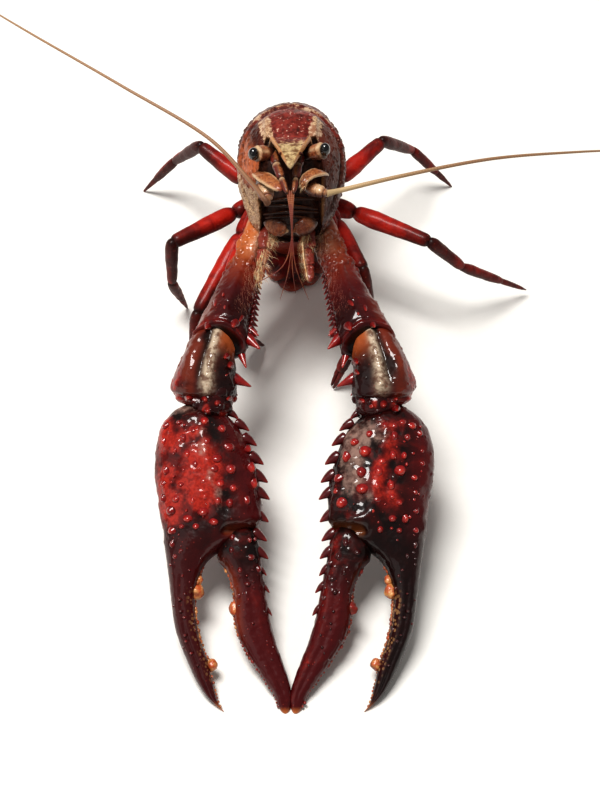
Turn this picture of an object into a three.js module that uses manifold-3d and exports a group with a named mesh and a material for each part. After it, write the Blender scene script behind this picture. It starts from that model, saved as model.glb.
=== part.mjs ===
// A whole crayfish, as it comes to the table: one animal, so one solid.
// It rests on its tucked tail and its leg tips, head raised. Both claws reach down to the table in front.
// Millimetres. +Z is up and the table is z = 0. The head faces -Y, and +X is on the right of whoever faces it.

import * as THREE from "three";
import { mergeVertices } from "three/addons/utils/BufferGeometryUtils.js";
import Module from "manifold-3d";

// ---------- driving dimensions ----------
const CARAPACE_LENGTH = 58; // rostrum tip to the carapace's back edge
const CARAPACE_WIDTH = 30;
const CARAPACE_RISE = 40; // degrees, the body axis above the table
const BODY_BACK = [89.5, 34.6]; // y and z of the body axis at the carapace's back edge
const TAIL_RADIUS = 16.6; // centreline radius of the tucked tail
const TAIL_RINGS = 6;
const CLAW_TILT = 21.6; // degrees, each claw slopes down towards its fingertips
const CLAW_SPREAD = 22.9; // x of the wrist
const WRIST = [-1.4, 28.5]; // y and z of the wrist
const CLAW_SWAY = 1; // both claws lie this far to the +X side of the body's middle
const FINGER_LEAN = 1.8; // the +X claw's moving finger closes this much further at its tip

// The point on the table under the middle of the whole, x and y here. It becomes the model's origin.
const ORIGIN = [5, 21.81];

const rad = THREE.MathUtils.degToRad;
const vec = (x, y, z) => new THREE.Vector3(x, y, z);
const SIDES = [-1, 1];

// ---------- frames ----------
const RISE = rad(CARAPACE_RISE);
const UP = vec(0, 0, 1);
const FORWARD = vec(0, -Math.cos(RISE), Math.sin(RISE));
const DORSAL = vec(0, Math.sin(RISE), Math.cos(RISE));

// A point on the body: x sideways, s forward from the carapace's back edge, h towards the back of the animal.
function onBody(x, s, h) {
  return vec(x, ...BODY_BACK).addScaledVector(FORWARD, s).addScaledVector(DORSAL, h);
}

// ---------- curves and skins ----------
// A smooth function through [position, value] stations, flat outside them.
function through(stations) {
  const slope = stations.map((_, i) => {
    const [before, valueBefore] = stations[Math.max(i - 1, 0)];
    const [after, valueAfter] = stations[Math.min(i + 1, stations.length - 1)];
    return (valueAfter - valueBefore) / (after - before);
  });
  const [first, last] = [stations[0], stations.at(-1)];
  return (place) => {
    if (place <= first[0]) return first[1];
    if (place >= last[0]) return last[1];
    const i = stations.findIndex(([start]) => start > place) - 1;
    const [a, valueA] = stations[i];
    const [b, valueB] = stations[i + 1];
    const u = (place - a) / (b - a);
    const share = u * u * (3 - 2 * u);
    const rise = u * (1 - u) * ((1 - u) * slope[i] - u * slope[i + 1]) * (b - a);
    return (1 - share) * valueA + share * valueB + rise;
  };
}

// 0 up to low, 1 from high, and an S between them.
function steps(x, low, high) {
  const u = THREE.MathUtils.clamp((x - low) / (high - low), 0, 1);
  return u * u * (3 - 2 * u);
}

// Wraps a unit sphere round a form. place(t, c, s) gives the point at t along it, where c and s are the
// cosine and sine round the section. A cap shrinks them to nothing at both ends, more suddenly if it is blunt.
function wrapped({ around, along, blunt = 6 }, place) {
  const geometry = new THREE.SphereGeometry(1, around, along);
  const position = geometry.getAttribute("position");
  for (let i = 0; i < position.count; i++) {
    const polar = Math.acos(THREE.MathUtils.clamp(position.getY(i), -1, 1));
    const t = 0.5 * (polar / Math.PI) + 0.25 * (1 - Math.cos(polar));
    const cap = Math.sqrt(Math.max(0, 1 - Math.abs(2 * t - 1) ** blunt));
    const ring = Math.hypot(position.getX(i), position.getZ(i)) || 1;
    const point = place(t, (position.getX(i) / ring) * cap, (position.getZ(i) / ring) * cap);
    position.setXYZ(i, point.x, point.y, point.z);
  }
  return geometry;
}

const sizeAt = (size, t) => (typeof size === "function" ? size(t) : size);

// A limb along a smooth path. wide and thick are its half sizes, numbers or functions of t, and flat is the
// way its thin side faces. slide(t, c, s) draws the skin back along the path, as a share of the path.
function limb({ path, wide, thick = wide, flat = UP, around = 6, along = 6, blunt, slide = () => 0 }) {
  const curve = path.length > 2 ? new THREE.CatmullRomCurve3(path) : new THREE.LineCurve3(...path);
  return wrapped({ around, along, blunt }, (t, c, s) => {
    const tangent = curve.getTangent(t);
    const up = flat.clone().addScaledVector(tangent, -flat.dot(tangent)).normalize();
    const side = up.clone().cross(tangent);
    const middle = curve.getPoint(t - slide(t, c, s));
    return middle.addScaledVector(side, sizeAt(wide, t) * c).addScaledVector(up, sizeAt(thick, t) * s);
  });
}

// A spine or knob: a cone from foot to tip. Its foot is sunk below the skin.
function spine(foot, tip, radius, sides = 4) {
  const length = foot.distanceTo(tip);
  const turn = new THREE.Quaternion().setFromUnitVectors(vec(0, 1, 0), tip.clone().sub(foot).normalize());
  const cone = new THREE.ConeGeometry(radius, length, sides).translate(0, length / 2, 0);
  return cone.applyQuaternion(turn).translate(...foot);
}

// ---------- carapace ----------
const SHELL_FROM = -1.5;
const SHELL_TO = 46.5;
const shellWidth = through([
  [SHELL_FROM, 9.5], [3, 12.4], [12, 14.3], [22, CARAPACE_WIDTH / 2], [31, 14.6], [38, 12.8], [43, 10.8],
  [SHELL_TO, 7.5],
]);
const shellTop = through([
  [SHELL_FROM, 10], [3, 12.2], [12, 14], [22, 14.6], [31, 13.4], [38, 10.8], [43, 8.2], [SHELL_TO, 5],
]);
const shellBottom = through([
  [SHELL_FROM, -8], [3, -12], [12, -14.5], [22, -17], [31, -20], [38, -22.4], [43, -22.4], [SHELL_TO, -18],
]);

// Makes the lower half of a section fuller, so that the flanks hang down as cheeks.
const FLANK_POWER = 0.6;
function fuller(c, s) {
  const size = Math.hypot(c, s);
  if (s >= 0 || size === 0) return c;
  return Math.sign(c) * size * (Math.abs(c) / size) ** FLANK_POWER;
}

function carapace() {
  return wrapped({ around: 22, along: 16, blunt: 5 }, (t, c, s) => {
    const at = THREE.MathUtils.lerp(SHELL_FROM, SHELL_TO, t);
    const middle = (shellTop(at) + shellBottom(at)) / 2;
    const half = (shellTop(at) - shellBottom(at)) / 2;
    return onBody(shellWidth(at) * fuller(c, s), at, middle + half * s);
  });
}

// The rostrum: a spear-shaped plate that slopes down between the eyes.
const ROSTRUM_FROM = 37;
const ROSTRUM_THICK = 1.3;
const rostrumWidth = through([[0, 6.6], [0.35, 5.2], [0.7, 3], [0.92, 1.2], [1, 0.4]]);
const rostrumTop = through([[0, 6.6], [0.16, 7.9], [0.35, 7.8], [0.7, 5.1], [1, 2]]);
function rostrum() {
  return wrapped({ around: 8, along: 8, blunt: 10 }, (t, c, s) => {
    const at = THREE.MathUtils.lerp(ROSTRUM_FROM, CARAPACE_LENGTH, t);
    return onBody(rostrumWidth(t) * c, at, rostrumTop(t) - 0.9 + ROSTRUM_THICK * s);
  });
}

// ---------- face ----------
const EYE_RADIUS = 1.85;
// Where each eye's stalk leaves the head, and the middle of the eye.
const EYES = [
  { root: onBody(-3.8, 39, 1.4), middle: onBody(-9.75, 48.2, 3.6) },
  { root: onBody(3.4, 39, 1.4), middle: onBody(9.05, 48.2, 4.8) },
];
function eye({ root, middle }) {
  return [
    limb({ path: [root, middle], wide: 2, along: 5 }),
    new THREE.SphereGeometry(EYE_RADIUS, 8, 6).translate(...middle),
  ];
}

// The stems of the pair of small feelers, from the head out.
const SMALL_STEMS = [
  [onBody(-4.4, 39, 0.6), onBody(-3.7, 49, 0.8), onBody(-2.3, 53, -2.4), onBody(-0.8, 56.4, -5.8)],
  [onBody(2.6, 39, 0.4), onBody(1.9, 49, 0.6), onBody(1.4, 53, -2.4), onBody(0.8, 56.4, -5.8)],
];
const smallStem = (path) => limb({ path, wide: through([[0, 1.5], [0.7, 1.2], [1, 0.7]]) });

// The stems of the long feelers, which taper to the whips, and the leaf-shaped scale over each.
const LONG_STEMS = [
  {
    path: [onBody(-7.4, 40, -4.2), onBody(-6.7, 49.5, -5.8), onBody(-5.9, 52.4, -8.4)],
    wide: through([[0, 2.2], [0.55, 2.35], [0.8, 2], [1, 1.3]]),
  },
  {
    path: [onBody(3.4, 41, -4.8), onBody(5.4, 49, -5.4), onBody(7.8, 51, -6), onBody(9.8, 51.4, -6.6)],
    wide: through([[0, 1.9], [0.5, 1.9], [1, 1.35]]),
  },
];
const SCALES = [
  {
    path: [onBody(-8.6, 39, -2.2), onBody(-7.4, 49, -2.2), onBody(-4, 53.4, -3.9), onBody(-2.3, 55, -5.2)],
    wide: through([[0, 1.5], [0.4, 1.9], [0.75, 1.5], [1, 0.5]]),
  },
  {
    path: [
      onBody(3.3, 52.6, -5.2), onBody(3.4, 53, -3.2), onBody(5, 51.5, -1.6), onBody(7.4, 49, -1.1),
      onBody(8.4, 39, -2.3),
    ],
    wide: through([[0, 0.6], [0.4, 1.2], [1, 1.7]]),
  },
];
const longStem = (stem) => limb({ ...stem, flat: DORSAL, around: 8 });
const scale = (leaf) => limb({ ...leaf, thick: 0.7, flat: DORSAL });

// The legs of the mouth: one lies against its arm, and the other hangs nearer the middle.
const MOUTH_LEGS = [
  [onBody(-5, 37, -17), vec(-6.2, 49, 45), vec(-7.3, 42, 44), vec(-8.1, 37.4, 43), vec(-8.5, 33.4, 41.6)],
  [onBody(4.4, 37, -17), vec(4.6, 49, 45), vec(4.6, 42, 44), vec(4.9, 37.4, 43), vec(5.2, 33.2, 41.2)],
];
const mouthLegWidth = through([[0, 2.4], [0.4, 2.1], [0.8, 1.4], [1, 0.7]]);
const mouthLeg = (path) => limb({ path, wide: mouthLegWidth, thick: 1.5, along: 8 });

// A jaw plate, which meets the other one in the middle.
function jaw(side) {
  const x = (value) => side * value;
  const path = [onBody(x(7.2), 42.6, -15.4), onBody(x(3.8), 44.6, -16.4), onBody(x(-0.5), 44.2, -17.4)];
  const wide = through([[0, 0.8], [0.42, 2.3], [0.75, 1.9], [1, 0.8]]);
  return limb({ path, wide, thick: 1.5, flat: FORWARD, along: 6, blunt: 4 });
}

// The four small feelers hang together in front of the mouth and part near their tips.
// Each: x where it hangs, then where it parts from the others, then its tip.
const ANTENNULES = [
  [-0.42, vec(-2.2, 31.6, 50), vec(-10, 29, 45.4)], [-0.14, vec(-0.6, 31, 49), vec(-2.9, 28.6, 39.5)],
  [0.42, vec(1.4, 31.5, 50), vec(4.9, 28.6, 39.5)], [0.14, vec(0.5, 31.5, 49.5), vec(1.4, 29.4, 41)],
];
const antennuleWidth = through([[0, 0.55], [0.5, 0.4], [1, 0.25]]);
function antennule([x, parting, tip]) {
  const hanging = [onBody(2 * x, 55.6, -5), onBody(0.3 + x, 57, -12), onBody(0.4 + x, 55.4, -18.4)];
  return limb({ path: [...hanging, parting, tip], wide: antennuleWidth, around: 4 });
}

// The long feelers: whips that leave the face sideways and end above the reach of the legs.
const ANTENNAE = [
  [
    onBody(-5.9, 52.4, -9), onBody(-7.1, 54.4, -7), vec(-11.5, 53, 61), vec(-22, 66.5, 62), vec(-47, 84, 65),
    vec(-74, 104, 66), vec(-88, 117, 64),
  ],
  [
    onBody(9.2, 51.3, -6.5), vec(13, 47.8, 61.9), vec(29, 52.5, 62.3), vec(54, 61, 60), vec(78.5, 69.3, 54),
    vec(98, 77, 47),
  ],
];
const antennaWidth = through([[0, 1.15], [0.12, 0.95], [0.5, 0.6], [1, 0.3]]);
const antenna = (path) => limb({ path, wide: antennaWidth, around: 5, along: 12, blunt: 40 });

// ---------- tail ----------
// The tail's centreline goes on from the body axis and bends under in an arc, down to the table.
const TAIL_TURN = 180 - CARAPACE_RISE; // degrees of the arc
const TAIL_HALF_WIDTH = 10.6;
const TAIL_SHRINK = 0.055; // each ring is this share of the first one smaller
const tailHub = onBody(0, 0, -TAIL_RADIUS);
function tailFrame(angle) {
  const turn = rad(CARAPACE_RISE + angle);
  const out = vec(0, Math.sin(turn), Math.cos(turn));
  const along = vec(0, Math.cos(turn), -Math.sin(turn));
  return { out, along, centre: tailHub.clone().addScaledVector(out, TAIL_RADIUS) };
}

// One ring of the tail: a hoop that flares at its back edge and laps over the next.
function tailRing(index) {
  const from = (index / TAIL_RINGS) * TAIL_TURN - 4;
  const to = ((index + 1) / TAIL_RINGS) * TAIL_TURN + 3;
  return wrapped({ around: 14, along: 4, blunt: 12 }, (t, c, s) => {
    const { out, centre } = tailFrame(THREE.MathUtils.lerp(from, to, t));
    const size = (1 - TAIL_SHRINK * index) * (0.94 + 0.1 * t);
    const deep = s > 0 ? 8 : 5.2;
    return centre.add(vec(-TAIL_HALF_WIDTH * size * c, 0, 0)).addScaledVector(out, deep * size * s);
  });
}

// The flesh inside the rings.
function tailFlesh() {
  return wrapped({ around: 8, along: 9, blunt: 16 }, (t, c, s) => {
    const { out, centre } = tailFrame(THREE.MathUtils.lerp(-6, TAIL_TURN + 12, t));
    return centre.add(vec(-7.6 * c, 0, 0)).addScaledVector(out, 5 * s);
  });
}

// The fan's blades: [turn from the middle in degrees, length, half width].
const FAN_BLADES = [[0, 17, 4.4], [24, 17.5, 4.2], [-24, 17.5, 4.2], [47, 16, 4.2], [-47, 16, 4.2]];
function fanBlade([turn, length, half]) {
  const { centre, along, out } = tailFrame(TAIL_TURN);
  const heading = along.clone().multiplyScalar(Math.cos(rad(turn))).add(vec(Math.sin(rad(turn)), 0, 0));
  const root = centre.addScaledVector(out, 4.4 - 0.02 * Math.abs(turn)).addScaledVector(along, -1);
  const path = [root, root.clone().addScaledVector(heading, length)];
  const wide = through([[0, 2.2], [0.5, half], [0.85, half * 0.95], [1, half * 0.6]]);
  return limb({ path, wide, thick: 1.3, flat: out, around: 8 });
}

// ---------- walking legs ----------
// Hip, knee, ankle and tip of each leg, from the second pair back. The second pair ends in small pincers.
const LEGS = [
  { joints: [onBody(-8.5, 24, -13.5), vec(-19.2, 34, 33), vec(-17, 35, 17), vec(-8.4, 43, 0.6)], pincer: true },
  { joints: [onBody(-9, 18, -13.5), vec(-26.2, 34.5, 26), vec(-27.5, 27, 13), vec(-27.5, 24, 0)] },
  { joints: [onBody(-9, 12, -13.5), vec(-33.5, 53.5, 34), vec(-34.5, 52, 18), vec(-31.2, 57, 0)] },
  { joints: [onBody(-8.5, 6, -13), vec(-27, 92, 33), vec(-36, 101, 17), vec(-47, 104, 0)] },
  { joints: [onBody(8.5, 24, -13.5), vec(18, 36, 33), vec(17.6, 31, 17), vec(11.8, 27.5, 0.6)], pincer: true },
  { joints: [onBody(9, 18, -13.5), vec(20, 42, 36), vec(23, 33, 18), vec(24.5, 25, 0)] },
  { joints: [onBody(9, 12, -13.5), vec(39.5, 55.5, 32), vec(49.5, 55.5, 21), vec(70.5, 62, 2.5)] },
  { joints: [onBody(8.5, 6, -13), vec(27, 94, 33), vec(37.2, 104.5, 18), vec(50.7, 106, 0)] },
];
const PINCER_APART = 0.9; // each half of a pincer stands this far off its middle

function leg({ joints: [hip, knee, ankle, tip], pincer = false }) {
  const thigh = hip.clone().lerp(knee, 0.32);
  const palm = ankle.clone().lerp(tip, 0.62);
  const root = [hip.clone().addScaledVector(DORSAL, 5), hip, thigh];
  const thighWidth = through([[0, 2.4], [0.3, 2.6], [1, 2]]);
  const footWidth = pincer ? 1.7 : 1.15;
  const made = [
    limb({ path: root, wide: 3, thick: 2.8, along: 5, flat: DORSAL }),
    limb({ path: [thigh.clone().lerp(hip, 0.1), knee], wide: thighWidth, along: 5 }),
    limb({ path: [knee.clone().lerp(ankle, -0.08), ankle], wide: through([[0, 1.9], [1, 1.55]]), along: 4 }),
    limb({ path: [ankle.clone().lerp(palm, -0.1), palm], wide: through([[0, 1.5], [1, footWidth]]), along: 4 }),
  ];
  const reach = tip.clone().sub(palm);
  const apart = reach.clone().cross(UP).setLength(pincer ? PINCER_APART : 0);
  const wide = through([[0, pincer ? 0.9 : 1.1], [1, 0.35]]);
  for (const half of pincer ? SIDES : [0]) {
    const knuckle = palm.clone().addScaledVector(reach, -0.2).addScaledVector(apart, half);
    made.push(limb({ path: [knuckle, tip.clone().addScaledVector(apart, half * 0.6)], wide, along: 4 }));
  }
  return made;
}

// ---------- claws ----------
const CLAW_DOWN = vec(0, -Math.cos(rad(CLAW_TILT)), -Math.sin(rad(CLAW_TILT)));
const CLAW_TOP = vec(0, -Math.sin(rad(CLAW_TILT)), Math.cos(rad(CLAW_TILT)));

// A point on a claw: u outwards and v towards the tips from the wrist, n out of its upper face.
function onClaw(side, u, v, n) {
  const wrist = vec(CLAW_SWAY + side * CLAW_SPREAD + side * u, ...WRIST);
  return wrist.addScaledVector(CLAW_DOWN, v).addScaledVector(CLAW_TOP, n);
}

// The hand with its fixed finger, against the distance from the wrist: u of both edges and half thickness.
const HAND = {
  from: -3.5,
  to: 77,
  outer: through([
    [-3.5, 7.6], [0, 10.6], [3.5, 12.4], [10, 13.4], [17, 13.4], [28, 11.8], [42, 9.6], [55, 7.8], [60, 6.2],
    [65, 4], [70, 1.6], [73.5, -0.8], [75.5, -3], [77, -5],
  ]),
  inner: through([
    [-3.5, -2.4], [0, -5.8], [2.7, -8], [6, -9.8], [10, -11.4], [14.5, -12.9], [19, -13.8], [23.5, -14.3],
    [28, -14.1], [31, -12.4], [36, -4], [39.5, 0], [45, 2.1], [49, 2.5], [56, 1.7], [60, 0.6], [65, -1.3],
    [70, -2.5], [75, -4], [77, -5.4],
  ]),
  thick: through([
    [-3.5, 4.4], [3, 6.6], [15, 7.6], [25, 7.2], [33, 5.8], [40, 4.4], [55, 3.5], [65, 2.8], [72, 2], [77, 0.9],
  ]),
};
// The moving finger, in the same way.
const FINGER = {
  from: 29,
  to: 77.5,
  outer: through([
    [29, -6.5], [34, -3.4], [38.5, -3.2], [41, -5.2], [46.5, -7.3], [54, -7.6], [58.3, -8.7], [62, -10.7],
    [66, -13.2], [70, -15.8], [73, -17.8], [77.5, -19.2],
  ]),
  inner: through([
    [29, -12.4], [32, -13.4], [39, -14.5], [49, -16], [54.5, -16.9], [60, -18.4], [65, -20.2], [69, -21.5],
    [73, -22.4], [77.5, -22.2],
  ]),
  thick: through([[29, 3.6], [34, 4.8], [42, 4.5], [52, 3.9], [62, 3.1], [70, 2.3], [77.5, 0.9]]),
};
const HINGE = 36; // the moving finger swings beyond this distance from the wrist

// How far the moving finger closes further at v. Only the +X claw's does.
const swing = (side, v) => (side > 0 ? FINGER_LEAN * Math.max(0, (v - HINGE) / (FINGER.to - HINGE)) : 0);

function clawForm(side, form, mesh, lean) {
  return wrapped({ ...mesh, blunt: 16 }, (t, c, s) => {
    const v = THREE.MathUtils.lerp(form.from, form.to, t);
    const middle = (form.outer(v) + form.inner(v)) / 2 - lean(side, v);
    const half = (form.outer(v) - form.inner(v)) / 2;
    return onClaw(side, middle + half * c, v, form.thick(v) * s);
  });
}

// Spines down the inner edge: [distance from the wrist, reach past the edge, foot radius].
const EDGE_SPINES = [
  [1.2, 1.5, 1.3], [4.2, 2.2, 1.7], [8.2, 2.4, 1.9], [13.2, 2.4, 2], [18, 2.4, 2], [22.5, 2.3, 1.9],
  [28.4, 2.3, 2], [33.4, 2.2, 1.9], [38, 1.9, 1.8], [42.4, 1.2, 1.4], [46.8, 1.4, 1.4], [52.6, 1, 1.3],
];
const KNUCKLE = 31; // spines beyond this distance stand on the moving finger
function edgeSpine(side, [v, reach, radius]) {
  const edge = v < KNUCKLE ? HAND.inner(v) : FINGER.inner(v) - swing(side, v);
  return spine(onClaw(side, edge + 1.6, v - 2.2, 0.4), onClaw(side, edge - reach, v + 0.3, 1), radius);
}

// The larger knobs on the upper face of each hand: [u, v, radius].
const LEFT_KNOBS = [
  [-0.1, 8.5, 1.2], [-5.7, 9.8, 1.2], [-2.7, 13, 1.2], [2.4, 14.6, 1], [-6.3, 15.7, 1.2], [-11.1, 14.7, 1.2],
  [-3.6, 19.5, 1.1], [-11.9, 18.9, 1.1], [-10.2, 23.6, 1.1], [-3.2, 24, 1], [0.4, 26.8, 1.1], [8.6, 26.1, 1.1],
];
const RIGHT_KNOBS = [
  [2.9, 7.2, 1.1], [0.6, 9.3, 1.2], [-4.3, 11, 1.3], [-8.9, 12.1, 1.2], [-0.3, 13.6, 1.1], [4.3, 16.1, 1.2],
  [-5.4, 16.6, 1.2], [-11, 17.6, 1.2], [-5.2, 20.8, 1.3], [-1.6, 20.1, 1.1], [-10.3, 24.1, 1.3],
  [-1.7, 23.5, 1.1],
];
function knob(side, [u, v, radius]) {
  const middle = (HAND.outer(v) + HAND.inner(v)) / 2;
  const across = (u - middle) / ((HAND.outer(v) - HAND.inner(v)) / 2);
  const skin = HAND.thick(v) * Math.sqrt(Math.max(0, 1 - across * across));
  const tip = onClaw(side, u * 1.03, v + 0.5, skin + 1.2 * radius);
  return spine(onClaw(side, u, v - 0.2, skin - 1.2), tip, 1.5 * radius);
}

// The largest tooth of each meeting edge: [u past the edge, v, radius].
const HAND_TEETH = [[-0.4, 46.6, 1.8], [-0.7, 65.2, 1.4]];
const FINGER_TEETH = [[-0.1, 51, 1.7]];
function tooth(side, u, v, radius) {
  return new THREE.SphereGeometry(radius, 7, 5).translate(...onClaw(side, u, v, 0.2));
}

function claw(side) {
  return [
    clawForm(side, HAND, { around: 12, along: 22 }, () => 0),
    clawForm(side, FINGER, { around: 8, along: 12 }, swing),
    ...EDGE_SPINES.map((row) => edgeSpine(side, row)),
    ...(side > 0 ? RIGHT_KNOBS : LEFT_KNOBS).map((row) => knob(side, row)),
    ...HAND_TEETH.map(([past, v, radius]) => tooth(side, HAND.inner(v) + past, v, radius)),
    ...FINGER_TEETH.map(([past, v, radius]) => tooth(side, FINGER.outer(v) - swing(side, v) + past, v, radius)),
  ];
}

// ---------- arms ----------
const ARM_UP = vec(0, -0.35, 0.94); // the way the arms' upper skin faces

// From the body out: hip, end of the short root, end of the long joint, wrist.
function armPoints(side) {
  return {
    hip: onBody(side * 7, 30, -15),
    elbow: vec(side * 10.4, 48.5, 39.8),
    bend: vec(CLAW_SWAY * 0.8 + side * 19.4, 15.5, 38.5),
    wrist: onClaw(side, 1.4, -1.5, 0),
  };
}

// The long joint widens into a collar, whose upper edge is cut back in an arch.
const ARCH_DEPTH = 0.085; // as a share of the joint's length
const arch = (t, c, s) => ARCH_DEPTH * (1 - c * c) * steps(s, -0.2, 0.4) * steps(t, 0.6, 1);
function longJoint({ hip, elbow, bend }) {
  return limb({
    path: [elbow.clone().lerp(hip, 0.35), elbow.clone().lerp(bend, 0.5), bend.clone().lerp(elbow, -0.09)],
    wide: through([[0, 3.6], [0.25, 4.1], [0.5, 5.3], [0.75, 6.6], [1, 8]]),
    thick: through([[0, 3.6], [0.25, 3.9], [0.5, 4.9], [1, 6.6]]),
    flat: ARM_UP, around: 12, along: 10, blunt: 20, slide: arch,
  });
}

// The wrist joint: a pear that bulges outwards, with a lobe that runs on over the hand on its inner side.
function wristJoint(side, { bend, wrist }) {
  const middle = bend.clone().lerp(wrist, 0.5).add(vec(side * 1.3, 0, 1));
  const lobe = [bend.clone().lerp(wrist, 0.5).add(vec(-side, 0, 0)), onClaw(side, -0.6, 1.8, 1.4)];
  return [
    limb({
      path: [bend.clone().add(vec(0, 6, -0.3)), middle, wrist],
      wide: through([[0, 5.4], [0.3, 6.6], [0.55, 8], [0.8, 8.6], [1, 6.6]]),
      thick: through([[0, 5.4], [0.4, 6.7], [0.75, 6.8], [1, 5.4]]),
      flat: ARM_UP, around: 12, along: 9, blunt: 5,
    }),
    limb({
      path: lobe,
      wide: through([[0, 5], [0.6, 5.6], [1, 4.6]]),
      thick: 5.2,
      flat: ARM_UP, around: 8, along: 6, blunt: 5,
    }),
  ];
}

// Along the inner side of the long joint, how far from elbow to bend: six small spines, then two large ones.
const LONG_JOINT_SPINES = [0.25, 0.37, 0.49, 0.61, 0.73, 0.85];
// Knobs on top of the wrist joint: [how far from bend to wrist, how far inwards, height].
const WRIST_KNOBS = [
  [0.28, 1.1, 6.3], [0.28, 3, 6], [0.4, 4.6, 5.5], [0.53, 4.2, 5.6], [0.66, 3.4, 5.9], [0.92, 0.9, 6.6],
  [0.96, 4, 6.2],
];
function wristKnob(over, [t, inwards, lift]) {
  return spine(over(t, inwards, lift - 1.9), over(t + 0.05, inwards, lift + 0.9), 1.4);
}

function armSpines(side, { elbow, bend, wrist }) {
  const inner = vec(-side, 0, 0);
  const low = vec(0, 0, -2);
  const beside = (t, past) => elbow.clone().lerp(bend, t).addScaledVector(inner, 4.4 + 2.6 * t + past);
  const over = (t, inwards, lift) =>
    bend.clone().lerp(wrist, t).addScaledVector(inner, inwards).addScaledVector(CLAW_TOP, lift);
  return [
    ...LONG_JOINT_SPINES.map((t) => spine(beside(t, -1.4), beside(t + 0.03, 0.9 + 1.4 * t), 0.9)),
    spine(beside(0.94, -1.6), beside(1.1, 4).add(vec(0, 0, 1)), 1.9, 5),
    spine(beside(0.97, -3.2).add(low), beside(1.22, 1).add(low), 1.7, 5),
    spine(over(0.5, 4, 0), over(0.68, 11.5, 1), 2, 5),
    spine(over(0.78, 4.4, 0), over(1, 8, 0), 1.6, 5),
    spine(over(0.9, 4, 1), over(1.36, 6.6, 1), 2.2, 5),
    ...WRIST_KNOBS.map((row) => wristKnob(over, row)),
  ];
}

function arm(side) {
  const points = armPoints(side);
  const { hip, elbow, bend } = points;
  const condyle = [bend.clone().add(vec(side * 3, 5, -0.6)), bend.clone().add(vec(side * 4, -2.6, -1.4))];
  return [
    limb({ path: [hip, elbow], wide: 3.9, thick: 3.8, along: 5, around: 8 }),
    longJoint(points),
    limb({ path: condyle, wide: 3.6, thick: 4, flat: ARM_UP, around: 8, blunt: 4 }),
    ...wristJoint(side, points),
    ...armSpines(side, points),
  ];
}

// ---------- all the pieces ----------
const pieces = [
  carapace(),
  rostrum(),
  ...SIDES.flatMap((side) => [jaw(side), ...claw(side), ...arm(side)]),
  ...EYES.flatMap(eye),
  ...SMALL_STEMS.map(smallStem),
  ...LONG_STEMS.map(longStem),
  ...SCALES.map(scale),
  ...MOUTH_LEGS.map(mouthLeg),
  ...ANTENNULES.map(antennule),
  ...ANTENNAE.map(antenna),
  ...Array.from({ length: TAIL_RINGS }, (_, index) => tailRing(index)),
  tailFlesh(),
  ...FAN_BLADES.map(fanBlade),
  ...LEGS.flatMap(leg),
];

// ---------- one solid ----------
const wasm = await Module();
wasm.setup();
const WELD = 1e-4; // points nearer than this are one point

function solid(geometry) {
  geometry.deleteAttribute("normal");
  geometry.deleteAttribute("uv");
  const merged = mergeVertices(geometry, WELD);
  const vertProperties = new Float32Array(merged.attributes.position.array);
  const triVerts = new Uint32Array(merged.index.array);
  return new wasm.Manifold(new wasm.Mesh({ numProp: 3, vertProperties, triVerts }));
}

// A piece whose faces point inwards has a negative volume, so its triangles are turned round.
function outward(geometry) {
  const made = solid(geometry);
  if (made.volume() > 0) return made;
  const corners = geometry.index.array;
  for (let i = 0; i < corners.length; i += 3) {
    [corners[i + 1], corners[i + 2]] = [corners[i + 2], corners[i + 1]];
  }
  return solid(geometry);
}

// Everything is joined into one solid, and what would reach below the table is cut flat.
const ROOM = 400;
const above = solid(new THREE.BoxGeometry(ROOM, ROOM, ROOM).translate(0, 0, ROOM / 2));
const whole = pieces.map(outward).reduce((joined, made) => joined.add(made)).intersect(above);

// Joining leaves slivers along the seams. Edges under this length are closed up where the skin stays one sheet.
const SHORTEST = 0.2;
const MOST_PASSES = 12;
function closeUp(points, faces) {
  const around = points.map(() => new Set());
  faces.forEach((face, i) => face.forEach((v) => around[v].add(i)));
  const beside = (v) => new Set([...around[v]].flatMap((i) => faces[i]).filter((w) => w !== v));
  const normal = (face) => {
    const [a, b, c] = face.map((v) => points[v]);
    return b.clone().sub(a).cross(c.clone().sub(a));
  };
  const shared = (a, b) => [...around[a]].filter((i) => around[b].has(i));
  const closes = (keep, drop) => {
    const common = [...beside(keep)].filter((v) => beside(drop).has(v));
    if (common.length !== 2 || shared(keep, drop).length !== 2) return false;
    return [...around[drop]].filter((i) => !around[keep].has(i)).every((i) => {
      const moved = faces[i].map((v) => (v === drop ? keep : v));
      return normal(moved).dot(normal(faces[i])) > -1e-9;
    });
  };
  const close = (keep, drop) => {
    for (const i of shared(keep, drop)) {
      faces[i].forEach((v) => around[v].delete(i));
      faces[i] = null;
    }
    for (const i of around[drop]) {
      faces[i] = faces[i].map((v) => (v === drop ? keep : v));
      around[keep].add(i);
    }
    around[drop].clear();
  };
  for (let pass = 0, closed = 1; pass < MOST_PASSES && closed; pass++) {
    closed = 0;
    for (let i = 0; i < faces.length; i++) {
      for (let k = 0; k < 3 && faces[i]; k++) {
        const ends = [faces[i][k], faces[i][(k + 1) % 3]];
        if (points[ends[0]].distanceTo(points[ends[1]]) > SHORTEST) continue;
        if (points[ends[1]].z === 0 && points[ends[0]].z !== 0) ends.reverse();
        if (!closes(...ends)) continue;
        close(...ends);
        closed++;
      }
    }
  }
  return faces.filter(Boolean);
}

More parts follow.
